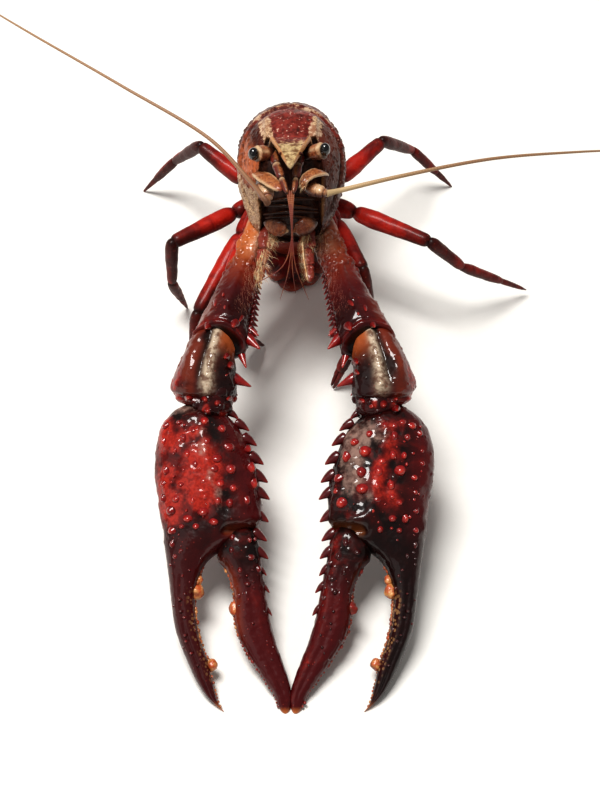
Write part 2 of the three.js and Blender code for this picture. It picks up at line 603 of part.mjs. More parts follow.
// The largest set of faces joined edge to edge: a loose scrap or the skin of a sealed hollow is dropped.
function outerSkin(faces) {
  const across = new Map();
  faces.forEach(([a, b, c], i) => [[a, b], [b, c], [c, a]].forEach((edge) => across.set(edge.join(), i)));
  const seen = new Set();
  let most = [];
  for (let start = 0; start < faces.length; start++) {
    if (seen.has(start)) continue;
    const skin = [start];
    seen.add(start);
    for (const i of skin) {
      const [a, b, c] = faces[i];
      for (const edge of [[b, a], [c, b], [a, c]]) {
        const next = across.get(edge.join());
        if (seen.has(next)) continue;
        seen.add(next);
        skin.push(next);
      }
    }
    if (skin.length > most.length) most = skin;
  }
  return most.map((i) => faces[i]);
}

// Where two sheets of the skin touch at a point, each is drawn in by this much.
const DRAWN_IN = 0.03;
function partTouching(points, faces) {
  const places = new Map();
  for (const v of new Set(faces.flat())) {
    const key = points[v].toArray().map((x) => x.toFixed(2)).join();
    places.set(key, [...(places.get(key) ?? []), v]);
  }
  for (const touching of places.values()) {
    if (touching.length < 2) continue;
    for (const v of touching) {
      const outwards = vec(0, 0, 0);
      for (const [a, b, c] of faces.filter((face) => face.includes(v))) {
        outwards.add(points[b].clone().sub(points[a]).cross(points[c].clone().sub(points[a])));
      }
      points[v].addScaledVector(outwards.normalize(), -DRAWN_IN);
    }
  }
}

function toGeometry(manifold) {
  const mesh = manifold.getMesh();
  const points = [];
  for (let i = 0; i < mesh.numVert; i++) {
    points.push(vec(0, 0, 0).fromArray(mesh.vertProperties, i * mesh.numProp));
  }
  const faces = [];
  for (let i = 0; i < mesh.triVerts.length; i += 3) {
    faces.push([...mesh.triVerts.subarray(i, i + 3)]);
  }
  const kept = outerSkin(closeUp(points, faces));
  partTouching(points, kept);
  const geometry = new THREE.BufferGeometry().setFromPoints(points);
  geometry.setIndex(kept.flat());
  return geometry;
}

const shell = new THREE.MeshStandardMaterial({ name: "shell", color: 0x7a1512, roughness: 0.32, metalness: 0 });
const crayfish = new THREE.Mesh(toGeometry(solid(toGeometry(whole))), shell);
crayfish.name = "crayfish";
crayfish.position.set(-ORIGIN[0], -ORIGIN[1], 0);
const group = new THREE.Group();
group.add(crayfish);
export default group;
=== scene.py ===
# %% [markdown]
# # A crayfish, head on
# A crayfish is a set of hard shell pieces: a shield over the head and chest, a jointed tail tucked
# underneath, two long claws on jointed arms, eight walking legs, and a face full of small parts.
# The frame holds the whole animal as one plain solid. Each shell piece is modelled again here, finely,
# in the same place, so that the fine model stands exactly where the plain one does.

import bpy
import numpy as np
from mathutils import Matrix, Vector


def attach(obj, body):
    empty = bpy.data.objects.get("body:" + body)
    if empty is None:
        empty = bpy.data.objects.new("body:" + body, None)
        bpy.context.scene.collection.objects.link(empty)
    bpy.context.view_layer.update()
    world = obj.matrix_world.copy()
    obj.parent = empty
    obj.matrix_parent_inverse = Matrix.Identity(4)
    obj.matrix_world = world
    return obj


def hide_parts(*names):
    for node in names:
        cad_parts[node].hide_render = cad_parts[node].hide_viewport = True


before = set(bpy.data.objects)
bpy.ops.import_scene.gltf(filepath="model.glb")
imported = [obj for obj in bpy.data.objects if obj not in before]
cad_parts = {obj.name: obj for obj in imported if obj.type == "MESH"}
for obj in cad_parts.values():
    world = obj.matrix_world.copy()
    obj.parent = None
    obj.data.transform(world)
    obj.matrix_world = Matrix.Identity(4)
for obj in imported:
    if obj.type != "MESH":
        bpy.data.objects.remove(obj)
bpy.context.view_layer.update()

# %% [markdown]
# ## Where things are
# The animal is worked out in millimetres in a frame of its own: x across it, y from the claws to the
# tail, z up from the table. The frame's origin lies under the middle of the whole, so every point is
# moved by ORIGIN when it goes into a mesh. The head and chest have an axis that rises towards the nose,
# and `on_body` places a point by its distance along that axis and its height above it.

# %% Driving dimensions, in millimetres and degrees
MM = 0.001
ORIGIN = np.array([5.0, 21.81, 0.0])
CARAPACE_LENGTH = 58.0
CARAPACE_WIDTH = 30.0
CARAPACE_RISE = 40.0
BODY_BACK = (89.5, 34.6)
TAIL_RADIUS = 16.6
CLAW_TILT = 21.6
CLAW_SPREAD = 22.9
WRIST = (-1.4, 28.5)
CLAW_SWAY = 1.0
FINGER_LEAN = 1.8

RISE = np.radians(CARAPACE_RISE)
UP = np.array([0.0, 0.0, 1.0])
FORWARD = np.array([0.0, -np.cos(RISE), np.sin(RISE)])
DORSAL = np.array([0.0, np.sin(RISE), np.cos(RISE)])


def spot(x, y, z):
    """A point, or points where the numbers are arrays, as one array with x, y, z last."""
    return np.stack(np.broadcast_arrays(x, y, z), -1).astype(float)


def on_body(x, s, h):
    """The point x across the body, s along its rising axis from the shield's back edge, h above that axis."""
    x, s, h = np.broadcast_arrays(x, s, h)
    back = np.array([0.0, *BODY_BACK])
    return back + spot(x, 0, 0) + s[..., None] * FORWARD + h[..., None] * DORSAL


print("nose tip in millimetres:", on_body(0, CARAPACE_LENGTH, 2).round(1))

# %% [markdown]
# ## Profiles and paths
# Every shell piece is a section carried along a line. Its width and thickness change along the line, and
# are given by a few stations. A cubic curve through them has no corners, which is what a grown shell
# needs: straight pieces between stations would show as facets in its gloss.


# %% Curves through stations and through points
def through(stations):
    """A curve through (place, value) stations. Between two of them it is a cubic whose slope at each is that of
    the line through its neighbours. It is flat outside them."""
    place, value = np.array(stations, float).T
    count = np.arange(len(place))
    before, after = np.maximum(count - 1, 0), np.minimum(count + 1, len(place) - 1)
    slope = (value[after] - value[before]) / (place[after] - place[before])

    def at(x):
        x = np.clip(x, place[0], place[-1])
        i = np.clip(np.searchsorted(place, x, side="right") - 1, 0, len(place) - 2)
        width = place[i + 1] - place[i]
        u = (x - place[i]) / width
        rise = (2 * u**3 - 3 * u**2 + 1) * value[i] + (3 * u**2 - 2 * u**3) * value[i + 1]
        return rise + (u**3 - 2 * u**2 + u) * width * slope[i] + (u**3 - u**2) * width * slope[i + 1]

    return at


def path_through(points):
    """A path from t = 0 to 1 through points, which spends as much of t on each stretch. A stretch is a cubic, and
    its ends' slopes weigh the two neighbouring stretches by the square roots of their lengths."""
    points = np.array(points, float)
    if len(points) == 2:
        return lambda t: points[0] + np.asarray(t, float)[..., None] * (points[1] - points[0])
    ends = [2 * points[0] - points[1], *points, 2 * points[-1] - points[-2]]
    knots = np.array(ends)

    def at(t):
        along = np.asarray(t, float) * (len(points) - 1)
        i = np.clip(np.floor(along).astype(int), 0, len(points) - 2)
        u = (along - i)[..., None]
        p0, p1, p2, p3 = (knots[i + k] for k in range(4))
        gaps = (p1 - p0, p2 - p1, p3 - p2)
        d0, d1, d2 = (np.sqrt(np.linalg.norm(gap, axis=-1))[..., None] for gap in gaps)
        m1 = ((p1 - p0) / d0 - (p2 - p0) / (d0 + d1) + (p2 - p1) / d1) * d1
        m2 = ((p2 - p1) / d1 - (p3 - p1) / (d1 + d2) + (p3 - p2) / d2) * d1
        return p1 + m1 * u + (3 * (p2 - p1) - 2 * m1 - m2) * u**2 + (2 * (p1 - p2) + m1 + m2) * u**3

    return at


def steps(x, low, high):
    """A smooth step: 0 up to low, 1 from high, and an S between them."""
    u = np.clip((x - low) / (high - low), 0, 1)
    return u * u * (3 - 2 * u)


def ridge(x, middle, width):
    """A bell-shaped ridge of height 1 round middle."""
    return np.exp(-(((x - middle) / width) ** 2))


print("the shield is", CARAPACE_WIDTH, "mm wide and", CARAPACE_LENGTH, "mm long")

# %% [markdown]
# ## Roughness that stays put
# A shell is never smooth: it is pitted, swollen in places and set with grains. Random numbers that
# depend only on a place and a seed give such relief, the same at every run. `cloud` makes soft swells
# and `grains` makes small round domes, one in each cell of a lattice.


# %% Seeded relief on whole arrays
def dice(cells, seed, count):
    """count random numbers from 0 to 1 for each whole-number cell: its coordinates are mixed by multiplying and
    shifting bits."""
    mixed = cells.astype(np.int64).astype(np.uint64)
    state = mixed[..., 0] * np.uint64(73856093) ^ mixed[..., 1] * np.uint64(19349663)
    state = state ^ mixed[..., 2] * np.uint64(83492791) ^ np.uint64(seed * 7919 + 17)
    numbers = []
    for _ in range(count):
        state = (state ^ (state >> np.uint64(15))) * np.uint64(2246822519)
        state = (state ^ (state >> np.uint64(13))) * np.uint64(3266489917)
        numbers.append(((state >> np.uint64(9)) & np.uint64(0xFFFFFF)) / float(0xFFFFFF))
    return np.stack(numbers, -1)


def cloud(points, size, seed):
    """Soft hills from -1 to 1: random heights at the corners of cubes of that size, blended by smooth steps."""
    place = points / size
    cell = np.floor(place)
    u = place - cell
    u = u * u * (3 - 2 * u)
    total = 0
    for corner in np.ndindex(2, 2, 2):
        weight = np.prod(np.where(corner, u, 1 - u), -1)
        total = total + weight * dice(cell + corner, seed, 1)[..., 0]
    return 2 * total - 1


def grains(points, size, radius, seed):
    """Round domes from 0 to 1, one at a random place in each cube of that size, and no two alike in width."""
    cell = np.floor(points / size)
    height = np.zeros(points.shape[:-1])
    for corner in np.ndindex(3, 3, 3):
        near = cell + corner - 1
        luck = dice(near, seed, 4)
        apart = np.linalg.norm(points - (near + 0.2 + 0.6 * luck[..., :3]) * size, axis=-1)
        reach = radius * (0.6 + 0.6 * luck[..., 3])
        height = np.maximum(height, np.sqrt(np.clip(1 - (apart / reach) ** 2, 0, 1)))
    return height


print("a grain's height at three places:", grains(np.eye(3) * 4, 2.0, 0.9, 1).round(2))

# %% [markdown]
# ## Skins
# A closed shell piece is a sphere's grid wrapped round a form: one parameter runs along it, one round it,
# and both ends close to a point. `wrapped` works out such a grid for any formula, and `limb` is the
# formula for a section carried along a path. A skin keeps its points, its faces and any marks, which are
# numbers at each point that a material can read. Skins are joined before they become an object.


# %% Wrap a grid round a form
def close_up(rings, tip, tail, marks):
    """A closed skin from a grid of points and its two end points. Its faces are turned outwards: the volume that
    they enclose is positive."""
    rows, around = rings.shape[:2]
    points = np.concatenate([tip[None], rings.reshape(-1, 3), tail[None]])
    row, column = np.meshgrid(np.arange(rows - 1), np.arange(around), indexing="ij")
    beside = (column + 1) % around
    quads = np.stack([row * around + column, row * around + beside, (row + 1) * around + beside,
                      (row + 1) * around + column], -1).reshape(-1, 4) + 1
    turn = np.arange(around)
    last = len(points) - 1
    fan_a = np.stack([np.zeros(around, int), (turn + 1) % around + 1, turn + 1], -1)
    fan_b = np.stack([np.full(around, last), last - around + turn, last - around + (turn + 1) % around], -1)
    tris = np.concatenate([fan_a, fan_b])
    a, b, c, d = (points[quads[:, k]] for k in range(4))
    volume = np.einsum("ij,ij->", a, np.cross(b, c)) + np.einsum("ij,ij->", a, np.cross(c, d))
    a, b, c = (points[tris[:, k]] for k in range(3))
    volume += np.einsum("ij,ij->", a, np.cross(b, c))
    if volume < 0:
        quads, tris = quads[:, ::-1], tris[:, ::-1]
    return {"points": points, "quads": quads, "tris": tris, "marks": marks}


def wrapped(around, along, place, blunt=6.0, marks=None):
    """Wraps a grid round a form. place(t, c, s) gives the point at t along it, where c and s are the cosine and
    sine round the section. Both shrink to nothing at the ends, by the root of 1 - |2t - 1| to the power blunt.
    marks(t, c, s) gives numbers to keep at each point."""
    polar = np.pi * np.arange(along + 1) / along
    t = 0.5 * polar / np.pi + 0.25 * (1 - np.cos(polar))
    cap = np.sqrt(np.clip(1 - np.abs(2 * t - 1) ** blunt, 0, 1))
    angle = 2 * np.pi * np.arange(around) / around
    grid = np.broadcast_to(t[:, None], (along + 1, around))
    c, s = cap[:, None] * np.cos(angle), cap[:, None] * np.sin(angle)
    points = place(grid, c, s)
    kept = {}
    for name, value in (marks(grid, c, s) if marks else {}).items():
        value = np.broadcast_to(value, grid.shape)
        kept[name] = np.concatenate([value[0, :1], value[1:-1].ravel(), value[-1, :1]])
    return close_up(points[1:-1], points[0].mean(0), points[-1].mean(0), kept)


def limb(path, wide, thick=None, flat=UP, around=20, along=24, blunt=6.0, relief=None, marks=None, slide=None):
    """A section carried along a path: wide and thick are its half sizes, as numbers or curves of t, and flat is
    the way its thin side faces. relief(t, c, s, points) raises the skin, in millimetres, and slide(t, c, s) draws
    it back along the path, as a share of the path."""
    curve = path_through(path)
    thick = wide if thick is None else thick

    def place(t, c, s):
        tangent = curve(t + 1e-3) - curve(t - 1e-3)
        tangent /= np.linalg.norm(tangent, axis=-1, keepdims=True)
        up = flat - tangent * (tangent @ flat)[..., None]
        up /= np.linalg.norm(up, axis=-1, keepdims=True)
        side = np.cross(up, tangent)
        half = (wide(t) if callable(wide) else wide) * c
        deep = (thick(t) if callable(thick) else thick) * s
        middle = curve(t if slide is None else t - slide(t, c, s))
        points = middle + half[..., None] * side + deep[..., None] * up
        if relief is None:
            return points
        return points + relief(t, c, s, points)[..., None] * (c[..., None] * side + s[..., None] * up)

    return wrapped(around, along, place, blunt, marks)


def thorn(foot, tip, radius, bend=(0, 0, 0), around=10, along=9):
    """A spine from foot to tip, round, swollen at its foot and bent sideways in its middle by bend."""
    foot, tip = np.array(foot, float), np.array(tip, float)
    middle = (foot + tip) / 2 + np.array(bend, float)
    wide = through([[0, radius], [0.3, radius * 0.86], [0.7, radius * 0.42], [1, radius * 0.1]])
    axis = UP if abs((tip - foot)[2]) < 0.9 * np.linalg.norm(tip - foot) else FORWARD
    grow = lambda t, c, s: {"tip": 0.6 * steps(t, 0.5, 1), "deep": 0.25 + 0.6 * steps(t, 0.5, 0.15)}
    return limb([foot, middle, tip], wide, flat=axis, around=around, along=along, blunt=14, marks=grow)


def ball(middle, radii, around=16, along=10):
    """An egg round middle with its three half sizes along x, y and z."""
    egg = lambda t, c, s: np.stack([radii[0] * c, radii[1] * (2 * t - 1), radii[2] * s], -1) + middle
    return wrapped(around, along, egg, 2.0)


def bristles(roots, tips, sag, radius, steps_along=5):
    """Many hairs as one skin. Each is a three-sided tube round root + t (tip - root) + 4 t (1 - t) sag that
    thins to a tenth of its radius."""
    roots, tips, sag = (np.array(value, float) for value in (roots, tips, sag))
    t = np.linspace(0, 1, steps_along)[None, :, None]
    centre = roots[:, None] + t * (tips - roots)[:, None] + 4 * t * (1 - t) * sag[:, None]
    along = (tips - roots) / np.linalg.norm(tips - roots, axis=-1, keepdims=True)
    side = np.cross(along, spot(0.31, 0.52, 0.79))
    side /= np.linalg.norm(side, axis=-1, keepdims=True)
    other = np.cross(along, side)
    turn = 2 * np.pi * np.arange(3) / 3
    ring = np.cos(turn)[:, None] * side[:, None] + np.sin(turn)[:, None] * other[:, None]
    width = (np.ones(len(roots)) * radius)[:, None, None, None] * (1 - 0.9 * t)[..., None]
    points = (centre[:, :, None] + width * ring[:, None]).reshape(-1, 3)
    first = (np.arange(len(roots)) * steps_along * 3)[:, None, None]
    row, column = np.meshgrid(np.arange(steps_along - 1), np.arange(3), indexing="ij")
    a, b = row * 3 + column, row * 3 + (column + 1) % 3
    quads = (first + np.stack([a, b, b + 3, a + 3], -1).reshape(1, -1, 4)).reshape(-1, 4)
    ends = np.array([[0, 2, 1], [3 * steps_along - 3, 3 * steps_along - 2, 3 * steps_along - 1]])
    tris = (first + ends[None]).reshape(-1, 3)
    far = np.broadcast_to(t, centre.shape[:2] + (1,)).repeat(3, -1).ravel()
    return {"points": points, "quads": quads, "tris": tris, "marks": {"far": far}}


print("a thorn has", len(thorn([0, 0, 0], [0, 0, 5], 1)["points"]), "points")

# %% [markdown]
# ## From skins to objects
# Objects hold the joined skins in metres, in the frame's place, shaded smooth. Each one rides on the
# frame's only body, stands for the plain solid, and takes the finish that it is given.


# %% Make one piece from skins
def piece(name, skins, material):
    """One object from many skins. A mark that some of them lack is 0 there."""
    start, corners, sizes, places = 0, [], [], []
    for skin in skins:
        for faces in (skin["quads"], skin["tris"]):
            corners.append((faces + start).ravel())
            sizes.append(np.full(len(faces), faces.shape[1]))
        places.append(skin["points"])
        start += len(skin["points"])
    corners, sizes = np.concatenate(corners), np.concatenate(sizes)
    points = (np.concatenate(places) - ORIGIN) * MM
    mesh = bpy.data.meshes.new(name)
    mesh.vertices.add(len(points))
    mesh.vertices.foreach_set("co", points.astype(np.float32).ravel())
    mesh.loops.add(len(corners))
    mesh.loops.foreach_set("vertex_index", corners.astype(np.int32))
    mesh.polygons.add(len(sizes))
    mesh.polygons.foreach_set("loop_start", np.concatenate([[0], np.cumsum(sizes)[:-1]]).astype(np.int32))
    mesh.polygons.foreach_set("use_smooth", np.ones(len(sizes), bool))
    for mark in sorted({key for skin in skins for key in skin["marks"]}):
        values = np.concatenate([skin["marks"].get(mark, np.zeros(len(skin["points"]))) for skin in skins])
        mesh.attributes.new(mark, "FLOAT", "POINT").data.foreach_set("value", values.astype(np.float32))
    mesh.update()
    mesh.validate()
    mesh.materials.append(material)
    made = bpy.data.objects.new(name, mesh)
    bpy.context.scene.collection.objects.link(made)
    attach(made, "root")
    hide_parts("crayfish")
    print(f"{name}: {len(points)} points, {int((sizes - 2).sum())} triangles")


# %% [markdown]
# ## Writing materials as sums
# A finish is a chain of small nodes, and a chain of sums is easier to read as an expression. `Flow`
# wraps a socket, so that `1 - mask` or `a * b` adds the Math nodes for it. Colours go through Mix nodes,
# because a Math node would turn them grey.


# %% A socket that Python's operators work on
class Flow:
    """A socket of a finish. A sum written on it adds the Math node for that sum and gives the node's output."""

    def __init__(self, finish, socket):
        self.finish, self.socket = finish, socket

    def _math(self, operation, *values):
        return self.finish.node("ShaderNodeMath", {"operation": operation}, dict(enumerate(values)))

    def __add__(self, other):
        return self._math("ADD", self, other)

    def __sub__(self, other):
        return self._math("SUBTRACT", self, other)

    def __rsub__(self, other):
        return self._math("SUBTRACT", other, self)

    def __mul__(self, other):
        return self._math("MULTIPLY", self, other)

    __radd__ = __add__
    __rmul__ = __mul__

    def step(self, low, high):
        """A smooth step from 0 at low to 1 at high."""
        values = {"Value": self, "From Min": low, "From Max": high}
        return self.finish.node("ShaderNodeMapRange", {"interpolation_type": "SMOOTHSTEP"}, values)


def paint(red, green, blue):
    """A screen colour, 0 to 255, as the light that a shader counts in."""
    light = np.array([red, green, blue]) / 255
    light = np.where(light <= 0.04045, light / 12.92, ((light + 0.055) / 1.055) ** 2.4)
    return (*light.tolist(), 1.0)


class Finish:
    """A material with one Principled shader, and a method for every other node."""

    def __init__(self, name):
        self.material = bpy.data.materials.new(name)
        self.material.use_nodes = True
        self.tree = self.material.node_tree
        self.tree.nodes.clear()
        output = self.tree.nodes.new("ShaderNodeOutputMaterial")
        self.shader = self.tree.nodes.new("ShaderNodeBsdfPrincipled")
        self.tree.links.new(self.shader.outputs[0], output.inputs[0])
        self.place = self.node("ShaderNodeTexCoord", out="Object")

    def node(self, kind, settings=None, values=None, out=0):
        """Adds a node, makes its settings first, then fills or links its sockets, and gives one output."""
        made = self.tree.nodes.new(kind)
        for name, value in (settings or {}).items():
            setattr(made, name, value)
        for name, value in (values or {}).items():
            self._fill(made.inputs[name], value)
        return Flow(self, made.outputs[out])

    def _fill(self, socket, value):
        """Links a Flow to the socket, and sets a plain value on it."""
        if isinstance(value, Flow):
            self.tree.links.new(value.socket, socket)
        else:
            socket.default_value = value

    def mark(self, name):
        """A number kept at the points of the mesh."""
        return self.node("ShaderNodeAttribute", {"attribute_name": name}, out="Fac")

    def noise(self, millimetres, detail=3.0, rough=0.55, warp=0.0):
        """Noise from 0 to 1 with swells of about that size."""
        values = {"Vector": self.place, "Scale": 1 / (millimetres * MM), "Detail": detail, "Roughness": rough,
                  "Distortion": warp}
        return self.node("ShaderNodeTexNoise", {"noise_dimensions": "3D"}, values, "Fac")

    def specks(self, millimetres, radius):
        """Round specks, 1 inside, about one to each cell of that size."""
        values = {"Vector": self.place, "Scale": 1 / (millimetres * MM), "Randomness": 1.0}
        far = self.node("ShaderNodeTexVoronoi", {"feature": "F1"}, values, "Distance")
        return 1 - far.step(radius * 0.7, radius)

    def mix(self, share, under, over):
        """Two colours, with share of the second."""
        return self.node("ShaderNodeMix", {"data_type": "RGBA"}, {0: share, 6: under, 7: over}, 2)

    def bump(self, height, millimetres, under=None):
        """A normal from a height of 0 to 1 that stands for that many millimetres."""
        values = {"Height": height, "Distance": millimetres * MM, "Strength": 1.0}
        if under is not None:
            values["Normal"] = under
        return self.node("ShaderNodeBump", {}, values)

    def done(self, colour, rough, normal=None, **fixed):
        """Sets the shader: what varies is linked, and what doesn't is set on its socket."""
        self._fill(self.shader.inputs["Base Color"], colour)
        self._fill(self.shader.inputs["Roughness"], rough)
        if normal is not None:
            self._fill(self.shader.inputs["Normal"], normal)
        for name, value in fixed.items():
            self._fill(self.shader.inputs[name.replace("_", " ").title().replace("Ior", "IOR")], value)
        print("finish:", self.material.name, len(self.tree.nodes), "nodes")
        return self.material


# %% [markdown]
# ## Claw and arm shell
# The claws are nearly black at their joints and edges and deep red over the outer half of each hand,
# mottled where the two meet, with a dusty taupe bloom near the wrist. The same pale taupe also paints a
# sheen along the crest of the left hand and the outer edge of each long joint. All of it shines as if wet,
# which a coat over the pigment gives. Marks that the mesh keeps say where it is red and where dusty or
# painted with sheen, and noise breaks up their borders.


# %% Claw shell finish
def claw_shell():
    """Black-brown grounds, then maroon, warm brown, two reds, dusty bloom and painted sheen, tan, beads, tips and
    black, one over another. The sum of a mark and noise, cut by a smooth step, gives each colour a ragged border."""
    f = Finish("claw_shell")
    broad, middle, fine = f.noise(5.0, 4.0, 0.6, 0.6), f.noise(1.9, 3.0, 0.6), f.noise(0.8, 3.0)
    red = (f.mark("red") + 1.3 * broad + 0.6 * middle - 1.0).step(0.1, 0.62)
    bright = (f.mark("red") + 0.9 * middle + 0.6 * broad + 0.3 * fine - 1.1).step(0.3, 0.85)
    colour = f.mix(broad.step(0.4, 0.62), paint(21, 7, 6), paint(52, 13, 11))
    colour = f.mix(f.mark("maroon") * (0.5 + middle).step(0.3, 0.9), colour, paint(78, 13, 16))
    colour = f.mix(f.mark("warm") * (0.4 + broad).step(0.4, 0.85), colour, paint(132, 54, 34))
    colour = f.mix(red, colour, paint(98, 18, 15))
    colour = f.mix(bright, colour, f.mix(fine.step(0.4, 0.6), paint(152, 36, 25), paint(176, 46, 32)))
    # This pale taupe is a dusty bloom near the wrist, and a painted sheen along the left hand's crest and the long
    # joints' outer edges.
    dust = (f.mark("dust") + 1.0 * middle + 0.5 * broad - 1.0).step(0.15, 0.85) * f.mark("dust").step(0.05, 0.4)
    colour = f.mix(dust * 0.8, colour, f.mix(middle.step(0.35, 0.65), paint(110, 82, 74), paint(160, 130, 118)))
    bone = f.mix(middle.step(0.38, 0.6), paint(128, 100, 82), paint(204, 184, 160))
    colour = f.mix(f.mark("tan"), colour, bone)
    bead = f.mark("bead") * f.specks(1.0, 0.5)
    colour = f.mix(bead, colour, paint(158, 116, 76))
    colour = f.mix(f.mark("tip") * (0.6 + middle).step(0.5, 1.0), colour, paint(208, 118, 60))
    colour = f.mix(f.specks(1.7, 0.12) * 0.5 * (1 - f.mark("black")), colour, paint(160, 60, 48))
    # The black is partly painted shade: in the wrist joint's furrow and at the long joint's collar end.
    colour = f.mix(f.mark("black"), colour, paint(12, 5, 5))
    normal = f.bump(fine, 0.04, f.bump(middle, 0.1, f.bump(broad, 0.35)))
    return f.done(colour, 0.3 + 0.3 * dust + 0.2 * fine, normal, specular_ior_level=0.1, coat_weight=0.42,
                  coat_roughness=0.08, coat_ior=1.7)


def knob_red():
    """Dark red, paler at a knob's tip and nearly black at its foot."""
    f = Finish("knob_red")
    fine = f.noise(0.7, 2.0)
    colour = f.mix(fine.step(0.3, 0.8), paint(164, 22, 22), paint(120, 12, 15))
    colour = f.mix(f.mark("tip") * 0.75, colour, paint(212, 70, 52))
    colour = f.mix(f.mark("deep"), colour, paint(58, 8, 10))
    return f.done(colour, 0.26 + 0.12 * fine, f.bump(fine, 0.06), specular_ior_level=0.3, coat_weight=0.8,
                  coat_roughness=0.06)


CLAW = claw_shell()
KNOB = knob_red()

# %% [markdown]
# ## Shield, legs, face and feelers
# The shield is brown with broken tan patches, red and peppered with pale specks on its crown, and dark in
# the hollow of the face. The specks are painted glints, the left flank is lighter with painted light, and the
# hollow, the neck groove and the right flank are dark with painted shade. The legs are a clear orange red
# that darkens at each joint, with painted shade under them. The feelers are tan and ringed. Each finish is
# the same kind of chain: a ground of two browns, then one colour for each mark, its border broken up by noise.


# %% The other finishes
def shield_shell():
    """Browns, then red, amber that is partly painted light, tan, olive, pale rims and the dark hollow of painted
    shade, each by its mark and noise. Pale specks, which are painted glints, and dark grains come last."""
    f = Finish("shield_shell")
    broad, middle, fine = f.noise(6.0, 4.0, 0.6, 0.6), f.noise(1.5, 4.0, 0.65), f.noise(0.45, 2.0)
    colour = f.mix(broad.step(0.38, 0.62), paint(64, 25, 18), paint(100, 44, 30))
    crown = f.mix(middle.step(0.3, 0.7), paint(88, 20, 18), paint(142, 54, 44))
    colour = f.mix(f.mark("red") * (middle + 0.5 * broad).step(0.4, 0.8), colour, crown)
    amber = f.mix(fine, paint(150, 64, 34), paint(204, 120, 74))
    colour = f.mix(f.mark("warm") * (middle + 0.5 * broad).step(0.35, 0.85), colour, amber)
    tan = (f.mark("tan") + 0.9 * middle + 0.6 * broad + 0.35 * fine - 1.3).step(0.02, 0.22)
    light = f.mix(fine.step(0.35, 0.6), paint(132, 92, 66), paint(206, 172, 136))
    dusky = f.mix(middle.step(0.45, 0.6), paint(150, 104, 78), paint(208, 178, 150))
    light = f.mix(broad.step(0.45, 0.6), light, dusky)
    colour = f.mix(tan, colour, light)
    olive = (f.mark("olive") + 1.3 * middle + 0.5 * broad - 1.1).step(0.05, 0.45)
    colour = f.mix(olive, colour, f.mix(middle.step(0.35, 0.62), paint(118, 84, 54), paint(202, 176, 130)))
    flecks = f.mark("olive") * f.specks(0.55, 0.3) * middle.step(0.4, 0.6)
    colour = f.mix(flecks * 0.7, colour, paint(92, 62, 36))
    rim = f.mix(fine, paint(164, 98, 58), paint(214, 166, 112))
    colour = f.mix(f.mark("rim") * (0.5 + middle).step(0.4, 0.9), colour, rim)
    deep = f.mix(middle.step(0.35, 0.6), paint(40, 18, 14), paint(78, 44, 32))
    colour = f.mix(f.mark("dark") * (0.6 + 0.7 * middle).step(0.4, 0.9), colour, deep)
    # Pale specks, strongest on the red crown, are painted glints.
    pale = f.specks(1.0, 0.24) * (1 - f.mark("dark")) * (1 - tan) * middle.step(0.4, 0.6)
    colour = f.mix(pale * (0.35 + 0.65 * f.mark("red")), colour, paint(222, 180, 160))
    colour = f.mix(f.mark("grain") * 0.45 * (1 - tan), colour, paint(50, 18, 17))
    normal = f.bump(fine, 0.06, f.bump(middle, 0.2))
    return f.done(colour, 0.34 + 0.3 * middle, normal, specular_ior_level=0.16, coat_weight=0.28,
                  coat_roughness=0.12)


def leg_shell():
    """Two reds that turn brown with the mark deep, which is partly painted shade under the leg, and nearly black
    at the joints.
    """
    f = Finish("leg_shell")
    broad, fine = f.noise(4.0, 3.0, 0.6, 0.5), f.noise(0.9, 3.0)
    colour = f.mix(broad.step(0.35, 0.7), paint(176, 36, 22), paint(134, 20, 16))
    colour = f.mix((f.mark("deep") + 0.6 * broad - 0.3).step(0.05, 0.95), colour, paint(66, 18, 14))
    colour = f.mix(f.mark("joint") * (0.4 + fine).step(0.45, 1.0), colour, paint(34, 12, 10))
    colour = f.mix(f.specks(1.4, 0.14) * 0.3, colour, paint(190, 96, 62))
    colour = f.mix(f.mark("tip"), colour, paint(84, 32, 24))
    normal = f.bump(fine, 0.16, f.bump(broad, 0.35))
    return f.done(colour, 0.42 + 0.25 * fine, normal, specular_ior_level=0.16, coat_weight=0.2, coat_roughness=0.2)


def tail_shell():
    """Broad patches of brown and red, lighter at the edges of the rings, with pale specks."""
    f = Finish("tail_shell")
    broad, fine = f.noise(5.0, 4.0, 0.6, 0.4), f.noise(0.8, 2.0)
    colour = f.mix(broad.step(0.38, 0.62), paint(58, 18, 15), paint(122, 20, 18))
    colour = f.mix(f.mark("edge") * (0.4 + fine).step(0.5, 1.0), colour, paint(150, 62, 42))
    colour = f.mix(f.specks(1.5, 0.18) * 0.5, colour, paint(160, 116, 92))
    normal = f.bump(fine, 0.08, f.bump(broad, 0.35))
    return f.done(colour, 0.3 + 0.2 * fine, normal, specular_ior_level=0.3, coat_weight=0.5, coat_roughness=0.12)


